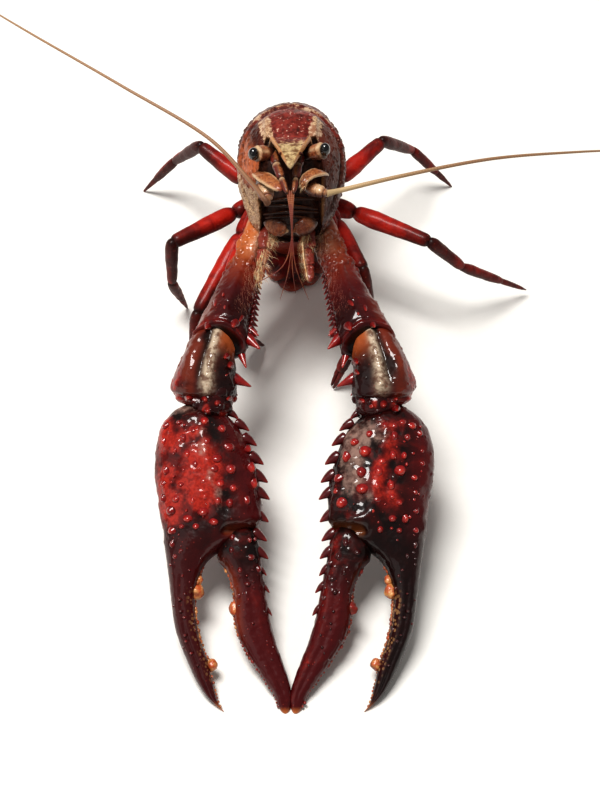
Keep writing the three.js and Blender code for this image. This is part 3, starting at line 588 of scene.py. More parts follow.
def face_shell():
    """Two dark browns, then warm, rosy, pale and dark parts by their marks. Much of the dark is painted shade: on
    undersides, at roots in the hollow and in grooves. The pale along the tops of the eye stalks and the long
    feelers' stems is a painted highlight.
    """
    f = Finish("face_shell")
    broad, middle, fine = f.noise(2.4, 3.0, 0.6, 0.5), f.noise(0.9, 4.0, 0.65), f.noise(0.45, 2.0)
    colour = f.mix(broad.step(0.35, 0.65), paint(46, 20, 14), paint(86, 42, 28))
    warm = f.mix(fine.step(0.3, 0.7), paint(138, 72, 38), paint(192, 122, 72))
    colour = f.mix(f.mark("warm") * (0.35 + 0.5 * broad + 0.5 * middle).step(0.5, 0.95), colour, warm)
    colour = f.mix(f.mark("rosy") * (0.4 + middle).step(0.6, 0.95), colour, paint(140, 40, 34))
    colour = f.mix(f.mark("pale") * (0.4 + middle).step(0.5, 0.95), colour, paint(222, 190, 150))
    colour = f.mix(f.mark("dark") * (0.7 + middle).step(0.5, 1.0), colour, paint(42, 19, 14))
    normal = f.bump(fine, 0.07, f.bump(middle, 0.25))
    return f.done(colour, 0.3 + 0.25 * fine, normal, specular_ior_level=0.3, coat_weight=0.5, coat_roughness=0.12)


def tooth_shell():
    """Small patches of tan and orange, dulled or reddened by marks."""
    f = Finish("tooth_shell")
    middle, fine = f.noise(1.4, 3.0), f.noise(0.7, 2.0)
    colour = f.mix(middle.step(0.35, 0.6), paint(220, 160, 96), paint(190, 88, 44))
    colour = f.mix(f.mark("dull") * (0.4 + fine).step(0.4, 0.9), colour, paint(116, 40, 30))
    colour = f.mix(f.mark("red"), colour, f.mix(middle.step(0.4, 0.6), paint(96, 14, 18), paint(140, 26, 26)))
    normal = f.bump(fine, 0.1, f.bump(middle, 0.3))
    return f.done(colour, 0.32 + 0.12 * fine, normal, coat_weight=0.4, coat_roughness=0.12)


def feeler_shell():
    """Rings of two browns that turn pale along the whip. The mark near gives the small feelers their red."""
    f = Finish("feeler_shell")
    ring = f.mark("ring")
    colour = f.mix(ring * 0.6, paint(112, 66, 42), paint(160, 112, 78))
    colour = f.mix(f.mark("far") * 0.8, colour, paint(176, 142, 108))
    colour = f.mix(f.mark("cream") * 0.8, colour, paint(214, 186, 140))
    ruddy = f.mix(f.noise(3.0).step(0.4, 0.6), paint(156, 84, 48), paint(124, 38, 34))
    colour = f.mix(f.mark("near") * 0.85, colour, ruddy)
    return f.done(colour, 0.4 + 0.15 * f.noise(0.8), f.bump(ring, 0.04), coat_weight=0.1, coat_roughness=0.3)


def bristle():
    """Patches of straw and cream, and a dull red by the mark ruddy."""
    f = Finish("bristle")
    colour = f.mix(f.noise(1.2).step(0.35, 0.65), paint(206, 140, 84), paint(246, 222, 176))
    colour = f.mix(f.mark("ruddy"), colour, paint(176, 84, 72))
    return f.done(colour, 0.5, None, sheen_weight=0.2)


def eye_black():
    """Black with faint facets under a clear coat."""
    f = Finish("eye_black")
    fine = f.specks(0.35, 0.4)
    colour = f.mix(fine, paint(6, 5, 6), paint(16, 13, 14))
    return f.done(colour, 0.14 + 0.04 * fine, None, coat_weight=0.8, coat_roughness=0.05)


SHIELD, LEG, TAIL, FACE = shield_shell(), leg_shell(), tail_shell(), face_shell()
TOOTH, FEELER, BRISTLE, EYE = tooth_shell(), feeler_shell(), bristle(), eye_black()

# %% [markdown]
# ## The shield
# One continuous shell covers head and chest. It is a section carried along the body's axis, and its
# relief is what tells it apart from an egg: the U-shaped neck groove, the fine line down the back,
# the raised rim at its back edge, ridges behind the eyes, a grainy flank and a hollow face.

# %% The shield over head and chest
# Each curve is over the place along the axis: half width, and the heights of its top and of its lower edge.
shield_wide = through([[-1.5, 9.5], [3, 12.4], [12, 14.3], [22, CARAPACE_WIDTH / 2], [31, 14.6], [38, 12.8],
                       [43, 10.8], [46.5, 7.5]])
shield_top = through([[-1.5, 10], [3, 12.2], [12, 14], [22, 14.6], [31, 13.4], [38, 10.8], [43, 8.2], [46.5, 5]])
shield_low = through([[-1.5, -8], [3, -12], [12, -14.5], [22, -17], [31, -20], [38, -22.4], [43, -22.4],
                      [46.5, -18]])
SHIELD_FROM, SHIELD_TO = -1.5, 46.5
HOLLOW_DEPTH = 3.6
GRAIN = (1.35, 0.52, 3)  # size of the shield's grains' lattice, their radius, and their seed


def squared(c, s):
    """The cosine c made fuller where s is below 0, by the power 0.6, so that the sides hang down."""
    size = np.hypot(c, s) + 1e-9
    full = np.sign(c) * size * (np.abs(c) / size) ** 0.6
    return np.where(s < 0, full, c)


def shield_grid(t, c, s):
    """Place along the axis, x, height above the axis, and the angle down from the middle of the back. The section
    is an oval between the shield's top and its lower edge."""
    at = SHIELD_FROM + (SHIELD_TO - SHIELD_FROM) * t
    middle = (shield_top(at) + shield_low(at)) / 2
    half = (shield_top(at) - shield_low(at)) / 2
    return at, shield_wide(at) * squared(c, s), middle + half * s, np.arctan2(np.abs(c), s)


def neck_line(down):
    """Where the neck groove crosses: 26.5 mm along at mid-back, and further on by the angle's square."""
    return 26.5 + 3.2 * down**2


def shield_relief(at, x, h, down):
    """Millimetres to raise the shield: the neck groove, the line down the back, the rear rim, the ridges behind
    the eyes and the front edge are bell curves, faded out by steps. Grains and soft swells are added."""
    flat, neck = on_body(x, at, h), neck_line(down)
    flank = steps(down, 0.5, 1.0) * steps(at, 2, 5)
    groove = (0.35 * ridge(at, neck - 2.2, 1.6) - 0.9 * ridge(at, neck, 0.9)) * steps(down, 2.3, 1.7)
    back_line = -0.35 * ridge(x, 0, 0.45) * steps(at, 26, 23) * steps(down, 0.6, 0.2)
    rear_rim = 0.3 * steps(at, 1.6, 0.4) - 0.3 * ridge(at, 2.3, 0.6)
    behind_eye = 0.8 * ridge(np.abs(x), 6.0 + 0.08 * (40 - at), 0.8) * steps(at, 29, 34) * steps(at, 44, 41)
    edge = 0.7 * ridge(np.abs(x), 9.4, 0.8) * steps(h, 1, -3) * steps(at, 40, 43)
    grain = 0.34 * grains(flat, *GRAIN) * (0.3 + 0.7 * flank)
    swell = 0.3 * cloud(flat, 7.0, 4) + 0.16 * cloud(flat, 2.2, 5)
    return groove + back_line + rear_rim + behind_eye * steps(down, 1.4, 1.1) + edge + grain + swell


def hollow_face(at, x, h):
    """1 in the hollow under the nose, where the feelers and jaws sit, and in the two eye sockets, 0 outside."""
    mouth = steps(np.abs(x), 8.6, 7.8) * steps(h, 2.6, 0.6)
    sockets = steps(np.abs(x), 7.6, 6.6) * steps(h, 7.0, 5.6)
    return np.maximum(mouth, sockets) * steps(at, 38, 41)


def shield_place(t, c, s):
    """The oval, moved outwards by the relief, with the hollow of the face pushed back along the axis."""
    at, x, h, down = shield_grid(t, c, s)
    out = np.stack([c, s], -1)
    out /= np.linalg.norm(out, axis=-1, keepdims=True) + 1e-9
    raised = shield_relief(at, x, h, down) * steps(np.hypot(c, s), 0.05, 0.5)
    point = on_body(x + raised * out[..., 0], at, h + raised * out[..., 1])
    return point - (HOLLOW_DEPTH * hollow_face(at, x, h))[..., None] * FORWARD


def shield_colours(at, x, h, down):
    """Tan lies in a ring round the crown and over the left cheek, where it is stronger partly as painted light.
    The crown is an oval of red, and it turns olive towards the nose. Amber on the left flank is painted light. The
    hollow, the groove and the right cheek are dark with painted shade."""
    front = steps(at, 27, 33)
    ring = 0.85 * ridge(down, 0.54, 0.16) * front
    ring = ring + 0.45 * steps(down, 1.1, 0.9) * steps(at, 30, 26) * steps(at, 20, 24)
    # The left cheek's stronger tan is partly painted light.
    cheek = 0.95 * steps(down, 1.35, 1.8) * steps(x, 1, -5) * steps(at, 16, 30)
    cheek = cheek + 0.4 * steps(down, 1.9, 2.3) * steps(x, 0, 5) * front
    # Painted shade: dark in the neck groove, over the right flank, and in the hollow of the face below.
    neck = 0.7 * ridge(at, neck_line(down), 0.7) * steps(down, 2.3, 1.7)
    right = 0.3 * steps(down, 0.9, 1.2) * steps(x, 0, 6) * steps(down, 2.1, 1.7)
    crown = steps(((at - 36) / 17)**2 + (down / 0.5)**2, 1.15, 0.6) * steps(at, 24, 30)
    marks = {"tan": ring + cheek, "dark": hollow_face(at, x, h) + neck + right,
             # Amber on the left flank only is painted light.
             "warm": steps(down, 0.8, 1.1) * steps(down, 1.9, 1.4) * steps(at, 24, 34) * steps(x, 2, -5),
             "red": crown + 0.7 * ridge(at, 27, 3) + 0.5 * steps(x, -2, 8) * (1 - front),
             "olive": steps(at, 41, 55) * steps(down, 0.6, 0.45),
             "rim": 0.9 * ridge(np.abs(x), 8.3, 0.5) * steps(h, 1, -4) * steps(at, 40, 43)}
    return {name: np.clip(value, 0, 1) for name, value in marks.items()}


def shield_marks(t, c, s):
    """The colours' shares at each point, and the height of its grain."""
    at, x, h, down = shield_grid(t, c, s)
    return shield_colours(at, x, h, down) | {"grain": grains(on_body(x, at, h), *GRAIN)}


piece("shield", [wrapped(300, 280, shield_place, 5.0, shield_marks)], SHIELD)

# %% [markdown]
# ## The nose spear
# Between the eyes the shield runs out into a spear: a flat plate with raised edges that slopes down to a
# point, with a small tooth on each side near the tip. It could be pulled out of the shield's own grid, but
# that would stretch its faces, so it is a plate of its own that starts under the shield and comes out of
# it bit by bit, in the shield's colours.

# %% The nose spear
nose_half = through([[0, 6.6], [0.35, 5.2], [0.7, 3], [0.92, 1.2], [1, 0.4]])
nose_height = through([[0, 6.6], [0.16, 7.4], [0.35, 7.3], [0.7, 5.1], [1, 2]])
NOSE_FROM = 37.0
NOSE_TEETH = [[-2.3, -3.2], [2.3, 3.2]]  # x of each tooth's foot and of its tip


def shield_height(at, x):
    """Height of the shield's smooth upper skin over x: its oval, shrunk as the skin closes towards the front."""
    closing = 1 - np.abs(2 * (at - SHIELD_FROM) / (SHIELD_TO - SHIELD_FROM) - 1) ** 5
    middle, half = (shield_top(at) + shield_low(at)) / 2, (shield_top(at) - shield_low(at)) / 2
    return middle + half * np.sqrt(np.clip(closing - (x / shield_wide(at)) ** 2, 0, 1))


def nose_place(t, c, s):
    """The plate stays just under the shield at its rear and comes out of it over the next 5 mm."""
    edge = ridge(np.abs(c), 0.93, 0.11) * np.where(s > -0.05, 1, 0.3) * steps(t, 1.0, 0.9) * steps(t, 0.12, 0.3)
    trough = -0.4 * ridge(c, 0, 0.5) * (s > 0)
    at = NOSE_FROM + (CARAPACE_LENGTH - NOSE_FROM) * t
    x = nose_half(t) * c
    under = shield_height(np.minimum(at, SHIELD_TO - 0.5), x) - 1.8
    own = nose_height(t) - 0.9
    flat = on_body(x, at, under + (own - under) * steps(t, 0.04, 0.3) + 1.3 * s)
    lift = 0.7 * edge + trough + 0.14 * cloud(flat, 1.0, 11)
    return flat + lift[..., None] * DORSAL


def nose_marks(t, c, s):
    """At its rear the nose has the shield's own colours, and in front a pale rim on each side. Its underside is
    dark with painted shade.
    """
    at = NOSE_FROM + (CARAPACE_LENGTH - NOSE_FROM) * t
    x = nose_half(t) * c
    down = np.arcsin(np.clip(np.abs(x) / shield_wide(np.minimum(at, 44)), 0, 1))
    marks = shield_colours(at, x, 8.0, down * steps(t, 0.5, 0.25))
    rim = ridge(np.abs(c), 0.97, 0.1) * (s > -0.3) * steps(t, 0.12, 0.3)
    under = 0.9 * steps(s, -0.1, -0.4)
    marks |= {"olive": marks["olive"] * (1 - 0.8 * rim), "red": marks["red"] * (1 - rim), "rim": rim,
              "dark": under,
              "tan": np.clip(marks["tan"] * steps(t, 0.5, 0.25) + 0.7 * steps(t, 0.9, 1), 0, 1)}
    return marks


nose_teeth = [thorn(on_body(foot, 52.5, 4.2), on_body(tip, 54.6, 4.4), 0.5) for foot, tip in NOSE_TEETH]
piece("nose_spear", [wrapped(72, 110, nose_place, 10.0, nose_marks), *nose_teeth], SHIELD)

# %% [markdown]
# ## Eyes
# Each eye is a glossy black ball on a stout stalk that leans out from under the nose spear. A ball stuck
# on a rod looks like a toy, so the stalk swells towards the ball and ends in a pale collar round it. Its
# marks paint shade on it where it comes out of the socket and under it, and a highlight along its top.

# %% Eyes and their stalks
def eye_middle(side):
    """Where an eye sits. The two differ a little, because the stalks can turn."""
    return on_body(9.05 if side > 0 else -9.75, 48.2, 4.8 if side > 0 else 3.6)


def eye_stalk(side):
    """A stout block from the socket to the eye, with a pale collar round the ball. Painted shade darkens its root
    and underside, and a painted highlight runs along its top.
    """
    middle = eye_middle(side)
    inner = on_body(4.4, 43, 2.6) if side > 0 else on_body(-4.8, 43.4, 3.2)
    marks = lambda t, c, s: {"warm": 0.8 * steps(t, 0.3, 0.6),
                             "dark": 0.85 * steps(t, 0.5, 0.25) + 0.7 * steps(s, 0.3, -0.5),
                             "pale": 0.55 * ridge(t, 0.97, 0.03) + 0.6 * ridge(s, 0.8, 0.15) * steps(t, 0.4, 0.6),
                             "rosy": 0.4 * ridge(t, 0.7, 0.1)}
    wide = through([[0, 1.9], [0.5, 2.0], [0.85, 2.15], [1, 1.9]])
    lumpy = lambda t, c, s, p: 0.25 * cloud(p, 1.8, 15) + 0.25 * ridge(t, 0.92, 0.04)
    end = middle - 0.1 * (middle - inner)
    return limb([inner, end], wide, around=40, along=36, blunt=14, relief=lumpy, marks=marks)


piece("eyes", [ball(eye_middle(side), (1.45, 1.6, 1.85), 40, 26) for side in (-1, 1)], EYE)
piece("eye_stalks", [eye_stalk(side) for side in (-1, 1)], FACE)

# %% [markdown]
# ## The face
# Under the nose sit, from the top: the stems of the small feelers, the thick stems of the long feelers
# with a leaf-shaped scale over each, a lip of thin crosswise ridges, the two jaw plates, and the jointed
# mouth legs below them. Each could be carved out of the shield, but real ones are separate parts on
# hinges, so each is a limb on a short path. The two sides differ, as they do on a real animal that has
# moved them, so the knots are kept in tables by side.


# %% Small feeler stems, long feeler stems and scales
# Knots of each stem and scale, as x, s and h on the body, from the root to the tip.
SMALL_STEMS = {-1: [[-4.5, 43.5, 3.2], [-3.7, 49, 0.8], [-2.3, 53, -2.4], [-0.8, 56.4, -5.8]],
               1: [[2.5, 43.5, 2.8], [1.9, 49, 0.6], [1.4, 53, -2.4], [0.8, 56.4, -5.8]]}
LONG_STEMS = {-1: [[-7.4, 40, -4.2], [-6.7, 49.5, -5.8], [-5.9, 52.4, -8.4]],
              1: [[3.4, 41, -4.8], [5.4, 49, -5.4], [7.8, 51, -6.0], [9.8, 51.4, -6.6]]}
SCALES = {-1: [[-9.2, 41.5, -2.2], [-7.4, 49, -2.2], [-4, 53.4, -3.9], [-2.3, 55, -5.2]],
          1: [[3.3, 52.6, -5.2], [3.4, 53, -3.2], [5, 51.5, -1.6], [7.4, 49, -1.1], [9.3, 44, -2.3]]}


def body_path(knots):
    """The points of a path from knots of x, s and h."""
    return [on_body(*knot) for knot in knots]


def small_stem(side):
    """Three joints, each lapping over the next: a pale top edge, a rosy flank, a dark end, and an underside dark
    with painted shade.
    """
    knots = body_path(SMALL_STEMS[side])
    marks = lambda t, c, s: {"warm": 0.8 * ridge(c, -0.2 * side, 0.4) * steps(s, -0.2, 0.5),
                             "pale": 0.6 * ridge(t, 0.12, 0.1) * steps(s, 0, 0.6),
                             "rosy": 0.5 * ridge(c, 0.75 * side, 0.3),
                             "dark": 0.8 * steps(t, 0.85, 1) + 0.7 * steps(s, 0.3, -0.4)}
    lumpy = lambda t, c, s, p: 0.14 * cloud(p, 1.2, 17)
    skins = []
    for a, b, start, end in zip(knots[:-1], knots[1:], (1.35, 1.2, 0.8), (1.2, 0.85, 0.4)):
        wide = through([[0, start], [0.7, start], [1, end]])
        skins.append(limb([a - 0.1 * (b - a), b], wide, around=28, along=24, blunt=8, relief=lumpy, marks=marks))
    return skins


def long_stem(side):
    """A stout root with two rings near its end, from which the whip comes. Its root and second ring's cut are dark
    with painted shade, and the pale bands on its top are painted highlights.
    """
    wide = through([[0, 2.2], [0.55, 2.35], [0.8, 2.0], [1, 1.3]] if side < 0 else
                   [[0, 1.9], [0.5, 1.9], [1, 1.35]])
    cut = lambda t, place: 0.35 * ridge(t, place, 0.02)
    rings = lambda t, c, s, p: 0.16 * cloud(p, 1.6, 18) - cut(t, 0.62) - cut(t, 0.82)
    marks = lambda t, c, s: {"warm": 0.9 * steps(t, 0.25, 0.5) * steps(s, -0.5, 0.3),
                             "rosy": 0.6 * ridge(t, 0.8, 0.12) * (side < 0),
                             "pale": (0.9 * ridge(t, 0.66, 0.12) + 0.4 * ridge(t, 0.92, 0.05))
                             * steps(s, -0.4, 0.4),
                             "dark": 0.8 * steps(t, 0.35, 0.1) + 0.7 * ridge(t, 0.82, 0.015)}
    path = body_path(LONG_STEMS[side])
    return limb(path, wide, flat=DORSAL, around=44, along=70, blunt=5, relief=rings, marks=marks)


def stem_scale(side):
    """The leaf over the long feeler's root: thin, arched, with a thickened pale rim. Its underside is dark with
    painted shade.
    """
    wide = through([[0, 1.5], [0.4, 1.9], [0.75, 1.5], [1, 0.5]] if side < 0
                   else [[0, 0.6], [0.4, 1.2], [1, 1.7]])
    rim = lambda t, c, s, p: 0.25 * ridge(np.abs(c), 0.9, 0.2) + 0.1 * cloud(p, 1.0, 19)
    marks = lambda t, c, s: {"warm": 0.9 * steps(s, -0.4, 0.3),
                             "pale": 0.75 * ridge(np.abs(c), 0.95, 0.2) * (s > -0.2),
                             "rosy": 0.5 * steps(t, 0.6, 1) * (side < 0), "dark": 0.8 * steps(s, -0.2, -0.8)}
    return limb(body_path(SCALES[side]), wide, thick=0.6, flat=DORSAL + 0.8 * FORWARD, around=44, along=60,
                blunt=8, relief=rim, marks=marks)


# Ridges of the lip: height on the body, half length, how far out, and tilt.
LIP_RIDGES = [[-9.6, 6.6, 43.4, 0.4], [-11.6, 7.4, 43.2, -0.5], [-13.2, 7.6, 43, 0.3], [-14.6, 7.0, 43, -0.2]]


def lip_and_jaws():
    """Thin dark ridges across the hollow, then two plates, wide in the middle, whose inner ends meet as teeth."""
    ridged = lambda t, c, s: {"dark": 0.9 - 0.8 * ridge(c, 0.3, 0.5), "warm": 0.45 + 0 * t}
    thin = through([[0, 0.3], [0.5, 0.6], [1, 0.3]])
    ridges = []
    for h, reach, out, tilt in LIP_RIDGES:
        back = out - 1.6
        arc = [on_body(-reach, back, h - tilt), on_body(0, out, h + 0.6), on_body(reach, back, h + tilt)]
        ridges.append(limb(arc, thin, around=16, along=50, blunt=8, marks=ridged))
    plates = []
    for side in (-1, 1):
        toothed = lambda t, c, s, p: 0.22 * np.sin(t * 26) * steps(t, 0.6, 0.8) + 0.16 * cloud(p, 1.4, 16)
        marks = lambda t, c, s: {"warm": 0.75 * steps(t, 0.05, 0.3) * (1 if side < 0 else 0.7),
                                 "rosy": 0.3 * ridge(t, 0.6, 0.2),
                                 "pale": 0.9 * ridge(t, 0.93, 0.06) * (side < 0),
                                 "dark": 0.9 * steps(c, 0.3, 0.9) + 0.7 * steps(t, 0.2, 0)}
        places = ((7.2, 42.6, -15.4), (3.8, 44.6, -16.4), (0.5, 44.4, -17.6))
        row = [on_body(side * x, s, h) for x, s, h in places]
        wide = through([[0, 0.8], [0.42, 2.3], [0.75, 1.9], [1, 0.6]])
        plates.append(limb(row, wide, thick=1.3, flat=FORWARD, around=36, along=50, blunt=5, relief=toothed,
                           marks=marks))
    return ridges + plates


# Knots of the mouth legs: the left one lies against its arm, the right one hangs nearer the middle.
MOUTH_LEGS = {-1: [on_body(-5, 37, -17), spot(-6.2, 49, 45), spot(-7.3, 41.8, 44.4), spot(-8.1, 37.4, 43.2),
                   spot(-8.5, 33.4, 41.6)],
              1: [on_body(4.4, 37, -17), spot(4.6, 49, 45), spot(4.6, 41.8, 44.4), spot(4.9, 37.4, 43),
                  spot(5.2, 33.2, 41.2)]}
# Half widths of their four joints, at the start and at the end.
MOUTH_LEG_WIDTHS = [[2.4, 2.2], [2.1, 1.7], [1.6, 1.3], [1.2, 0.6]]


def mouth_leg(side):
    """Four flat joints, rough with grains, each narrower than the last one and lapped over it. Their undersides
    are dark with painted shade.
    """
    knots = MOUTH_LEGS[side]
    marks = lambda t, c, s: {"warm": 0.5 + 0.5 * ridge(c, -0.7 * side, 0.5), "rosy": 0.8 * steps(s, -0.2, 0.6),
                             "dark": 0.7 * steps(t, 0.85, 1) + 0.5 * steps(s, 0, -0.6),
                             "pale": 0.4 * ridge(c, -0.5 * side, 0.2)}
    lumpy = lambda t, c, s, p: 0.2 * cloud(p, 1.6, 31) + 0.4 * grains(p, 1.3, 0.6, 32)
    joints = []
    for a, b, (start, end) in zip(knots[:-1], knots[1:], MOUTH_LEG_WIDTHS):
        wide, thick = through([[0, start], [0.6, start], [1, end]]), through([[0, start * 0.7], [1, end * 0.7]])
        joints.append(limb([a - 0.12 * (b - a), b], wide, thick, around=32, along=26, blunt=5, relief=lumpy,
                           marks=marks))
    return joints


stems = [skin for side in (-1, 1) for skin in (*small_stem(side), long_stem(side), stem_scale(side))]
piece("face_stems", stems, FACE)
piece("lip_and_jaws", lip_and_jaws(), FACE)
piece("mouth_legs", [skin for side in (-1, 1) for skin in mouth_leg(side)], FACE)

# %% [markdown]
# ## Hair
# The mouth legs are fringed with stiff golden hair, and so are the scales beside the feelers and the inner
# side of the arms. A hair system would leave no mesh behind, so a hair is a three-sided tube of a few
# faces, of which several hundred cost little. Each fringe is a row of roots along a line, and a seeded
# draw makes every hair a little different. Only the comb on one mouth leg has hairs all alike.


# %% Fringes of hair on the face
def fringe(line, reach, count, spread, radius, sag, seed):
    """count hairs rooted at random along a path, each reaching out by reach, turned by up to spread and bent by
    sag, all in millimetres."""
    luck = np.random.default_rng(seed)
    roots = path_through(line)(luck.random(count)) + luck.normal(0, 0.35, (count, 3))
    length = luck.uniform(0.55, 1.1, count)[:, None]
    tips = roots + length * (np.array(reach, float) + luck.normal(0, spread, (count, 3)))
    return bristles(roots, tips, length * np.array(sag, float) + luck.normal(0, 0.25, (count, 3)), radius)


def face_fringes():
    """Each fringe: its line of roots, its reach, how many hairs, their spread, width and sag, and a seed."""
    left, right = MOUTH_LEGS[-1], MOUTH_LEGS[1]
    tuft = [left[1] + spot(1.2, -2, 2), left[2] + spot(1.6, 1, 2.2)]
    brush = [knot + spot(-0.2, 0, 1.3) for knot in left[2:]]
    inside = [knot + spot(1.2, 0, 0.8) for knot in left[1:]]
    rail = [right[1] + spot(-1.4, -5, 1.6), right[2] + spot(-1.3, -1, 1.8), right[3] + spot(-1.2, 0, 1.6),
            right[4] + spot(-0.6, 0, 1)]
    top = [right[1] + spot(-1.6, -4, 2.2), right[1] + spot(1, -4, 2.2)]
    setae = [on_body(3.1, 53.2, -4.6), on_body(3.4, 53.4, -3.1), on_body(5.0, 52.2, -2.0)]
    edge = [on_body(-8.6, 43.5, -2.6), on_body(-5, 53, -4)]
    return [
        fringe(tuft, (1.6, -2.8, -0.4), 46, 0.8, 0.08, (0, 0, 0.5), 101),
        fringe(brush, (-0.2, -4.2, -0.9), 70, 0.5, 0.08, (0, 0, 0.3), 102),
        fringe(inside, (1.4, -3, 0.2), 50, 0.8, 0.06, (0, 0, 0.4), 103),
        fringe(right[1:3], (1.2, -2.6, 0.9), 40, 0.8, 0.06, (0, 0, 0.4), 104),
        fringe(top, (-0.6, -2.6, -0.6), 40, 0.5, 0.08, (0, 0, 0.4), 105),
        fringe(setae, (-0.4, -0.7, -1.5), 26, 0.2, 0.09, (-0.2, 0, 0.1), 106),
        fringe(edge, (0.3, -0.9, 0.1), 50, 0.25, 0.05, (0, 0, 0.1), 107),
        comb(rail, (-1.5, -0.9, -0.7), 44, 0.075, (0.1, 0, 0.35)),
        limb(rail, through([[0, 0.24], [1, 0.16]]), around=14, along=60, blunt=10),
    ]


def comb(line, reach, count, radius, sag):
    """Hairs at even steps along a path, all alike."""
    roots = path_through(line)(np.linspace(0.03, 0.97, count))
    return bristles(roots, roots + np.array(reach, float), np.tile(np.array(sag, float), (count, 1)), radius)


piece("face_hair", face_fringes(), BRISTLE)

# %% [markdown]
# ## Feelers
# The two long feelers are whips of many short rings, thick at the root and hair-thin at the end. The
# rings could be separate beads, but a single skin is lighter: a mark swings between 0 and 1 along the
# whip, and the skin swells with it. The four small feelers hang together in front of the mouth and part
# at their ends.

# %% Long and small feelers
FEELER_LEFT = [on_body(-5.9, 52.4, -9.0), on_body(-7.1, 54.4, -7.0), spot(-11.5, 53, 61), spot(-22, 66.5, 62),
               spot(-47, 84, 65), spot(-74, 104, 66), spot(-88, 117, 64)]
FEELER_RIGHT = [on_body(9.2, 51.3, -6.5), spot(13, 47.8, 61.9), spot(29, 52.5, 62.3), spot(54, 61, 60),
                spot(78.5, 69.3, 54), spot(98, 77, 47)]
# The small feelers: x at the root, then the two last knots of each.
SMALL_FEELERS = [(-0.42, spot(-2.2, 31.6, 50), spot(-10, 29, 45.4)),
                 (-0.14, spot(-0.6, 31, 49), spot(-2.9, 28.6, 39.5)),
                 (0.42, spot(1.4, 31.5, 50), spot(4.9, 28.6, 39.5)),
                 (0.14, spot(0.5, 31.5, 49.5), spot(1.4, 29.4, 41))]
RINGS_ON_WHIP = 150
RINGS_ON_SMALL_FEELER = 60


def whip(path, cream):
    """A whip that thins by a curve. Its rings are a sine of the way along it."""
    wave = lambda t: 0.5 + 0.5 * np.sin(2 * np.pi * RINGS_ON_WHIP * t)
    wide = through([[0, 1.15], [0.06, 0.85], [0.3, 0.62], [0.6, 0.45], [1, 0.22]])
    return limb(path, wide, around=14, along=900, blunt=40, relief=lambda t, c, s, p: 0.02 * wave(t),
                marks=lambda t, c, s: {"ring": wave(t), "far": t, "cream": cream * steps(t, 0.6, 0.1)})


def small_feeler(x, parting, tip):
    """A thinner whip: the four hang side by side, a little apart, down to their partings."""
    path = [on_body(2 * x, 55.6, -5), on_body(0.3 + 0.5 * x, 57, -12), on_body(0.4 + 0.4 * x, 55.4, -18.4),
            parting, tip]
    wave = lambda t: 0.5 + 0.5 * np.sin(2 * np.pi * RINGS_ON_SMALL_FEELER * t)
    wide = through([[0, 0.34], [0.15, 0.21], [0.5, 0.18], [0.7, 0.14], [1, 0.07]])
    return limb(path, wide, around=12, along=260, blunt=30, relief=lambda t, c, s, p: 0.02 * wave(t),
                marks=lambda t, c, s: {"ring": wave(t), "near": 0.8 + 0.2 * steps(t, 0.35, 0.6)})


piece("long_feelers", [whip(FEELER_LEFT, 0), whip(FEELER_RIGHT, 1)], FEELER)
piece("small_feelers", [small_feeler(*knots) for knots in SMALL_FEELERS], FEELER)

# %% [markdown]
# ## Claws
# Seen from above, a claw is an outline: a broad hand that narrows into the outer, fixed finger, and an
# inner finger that moves. A box cut to that outline would have flat faces, so `claw_form` fills it between
# two edge curves with one closed skin and rounds it. A curve gives u, the distance outwards, or half the
# thickness, over v, the distance from the wrist towards the tips.

# %% Claw outlines
HAND_SPAN, FINGER_SPAN = (-3.5, 77), (29, 77.5)
hand_outer = through([[-3.5, 7.6], [0, 10.6], [3.5, 12.4], [10, 13.4], [17, 13.4], [28, 11.8], [42, 9.6],
                      [55, 7.8], [60, 6.2], [65, 4], [70, 1.6], [73.5, -0.8], [75.5, -3], [77, -5]])
hand_inner = through([[-3.5, -2.4], [0, -5.8], [2.7, -8], [6, -9.8], [10, -11.4], [14.5, -12.9], [19, -13.8],
                      [23.5, -14.3], [28, -14.1], [31, -12.4], [36, -4], [39.5, 0], [45, 2.1], [49, 2.5],
                      [56, 1.7], [60, 0.6], [65, -1.3], [70, -2.5], [75, -4], [77, -5.4]])
hand_thick = through([[-3.5, 4.4], [3, 6.6], [15, 7.6], [25, 7.2], [33, 5.8], [40, 4.4], [55, 3.5], [65, 2.8],
                      [72, 2], [77, 0.9]])
finger_inner = through([[29, -12.4], [32, -13.4], [39, -14.5], [49, -16], [54.5, -16.9], [60, -18.4],
                        [65, -20.2], [69, -21.5], [73, -22.4], [77.5, -22.2]])
finger_outer = through([[29, -6.5], [34, -3.4], [38.5, -3.2], [41, -5.2], [46.5, -7.3], [54, -7.6],
                        [58.3, -8.7], [62, -10.7], [66, -13.2], [70, -15.8], [73, -17.8], [77.5, -19.2]])
finger_thick = through([[29, 3.6], [34, 4.8], [42, 4.5], [52, 3.9], [62, 3.1], [70, 2.3], [77.5, 0.9]])
TILT = np.radians(CLAW_TILT)
CLAW_DOWN = np.array([0.0, -np.cos(TILT), -np.sin(TILT)])
CLAW_TOP = np.array([0.0, -np.sin(TILT), np.cos(TILT)])
print("a claw is", HAND_SPAN[1] - HAND_SPAN[0], "mm long and", float(hand_outer(18) - hand_inner(18)), "mm wide")


# %% The form of a claw
FINGER_PIVOT = 36


def on_claw(side, u, v, n):
    """A point on a claw: u outwards and v towards the tips from the wrist, n out of its upper face."""
    u, v, n = np.broadcast_arrays(u, v, n)
    wrist = np.array([CLAW_SWAY + side * CLAW_SPREAD, *WRIST])
    return wrist + spot(side * u, 0, 0) + v[..., None] * CLAW_DOWN + n[..., None] * CLAW_TOP


def swing(side, v):
    """How far the moving finger of the +x claw closes further, at v: it grows evenly from pivot to tip."""
    share = np.clip((v - FINGER_PIVOT) / (FINGER_SPAN[1] - FINGER_PIVOT), 0, None)
    return (FINGER_LEAN if side > 0 else 0) * share


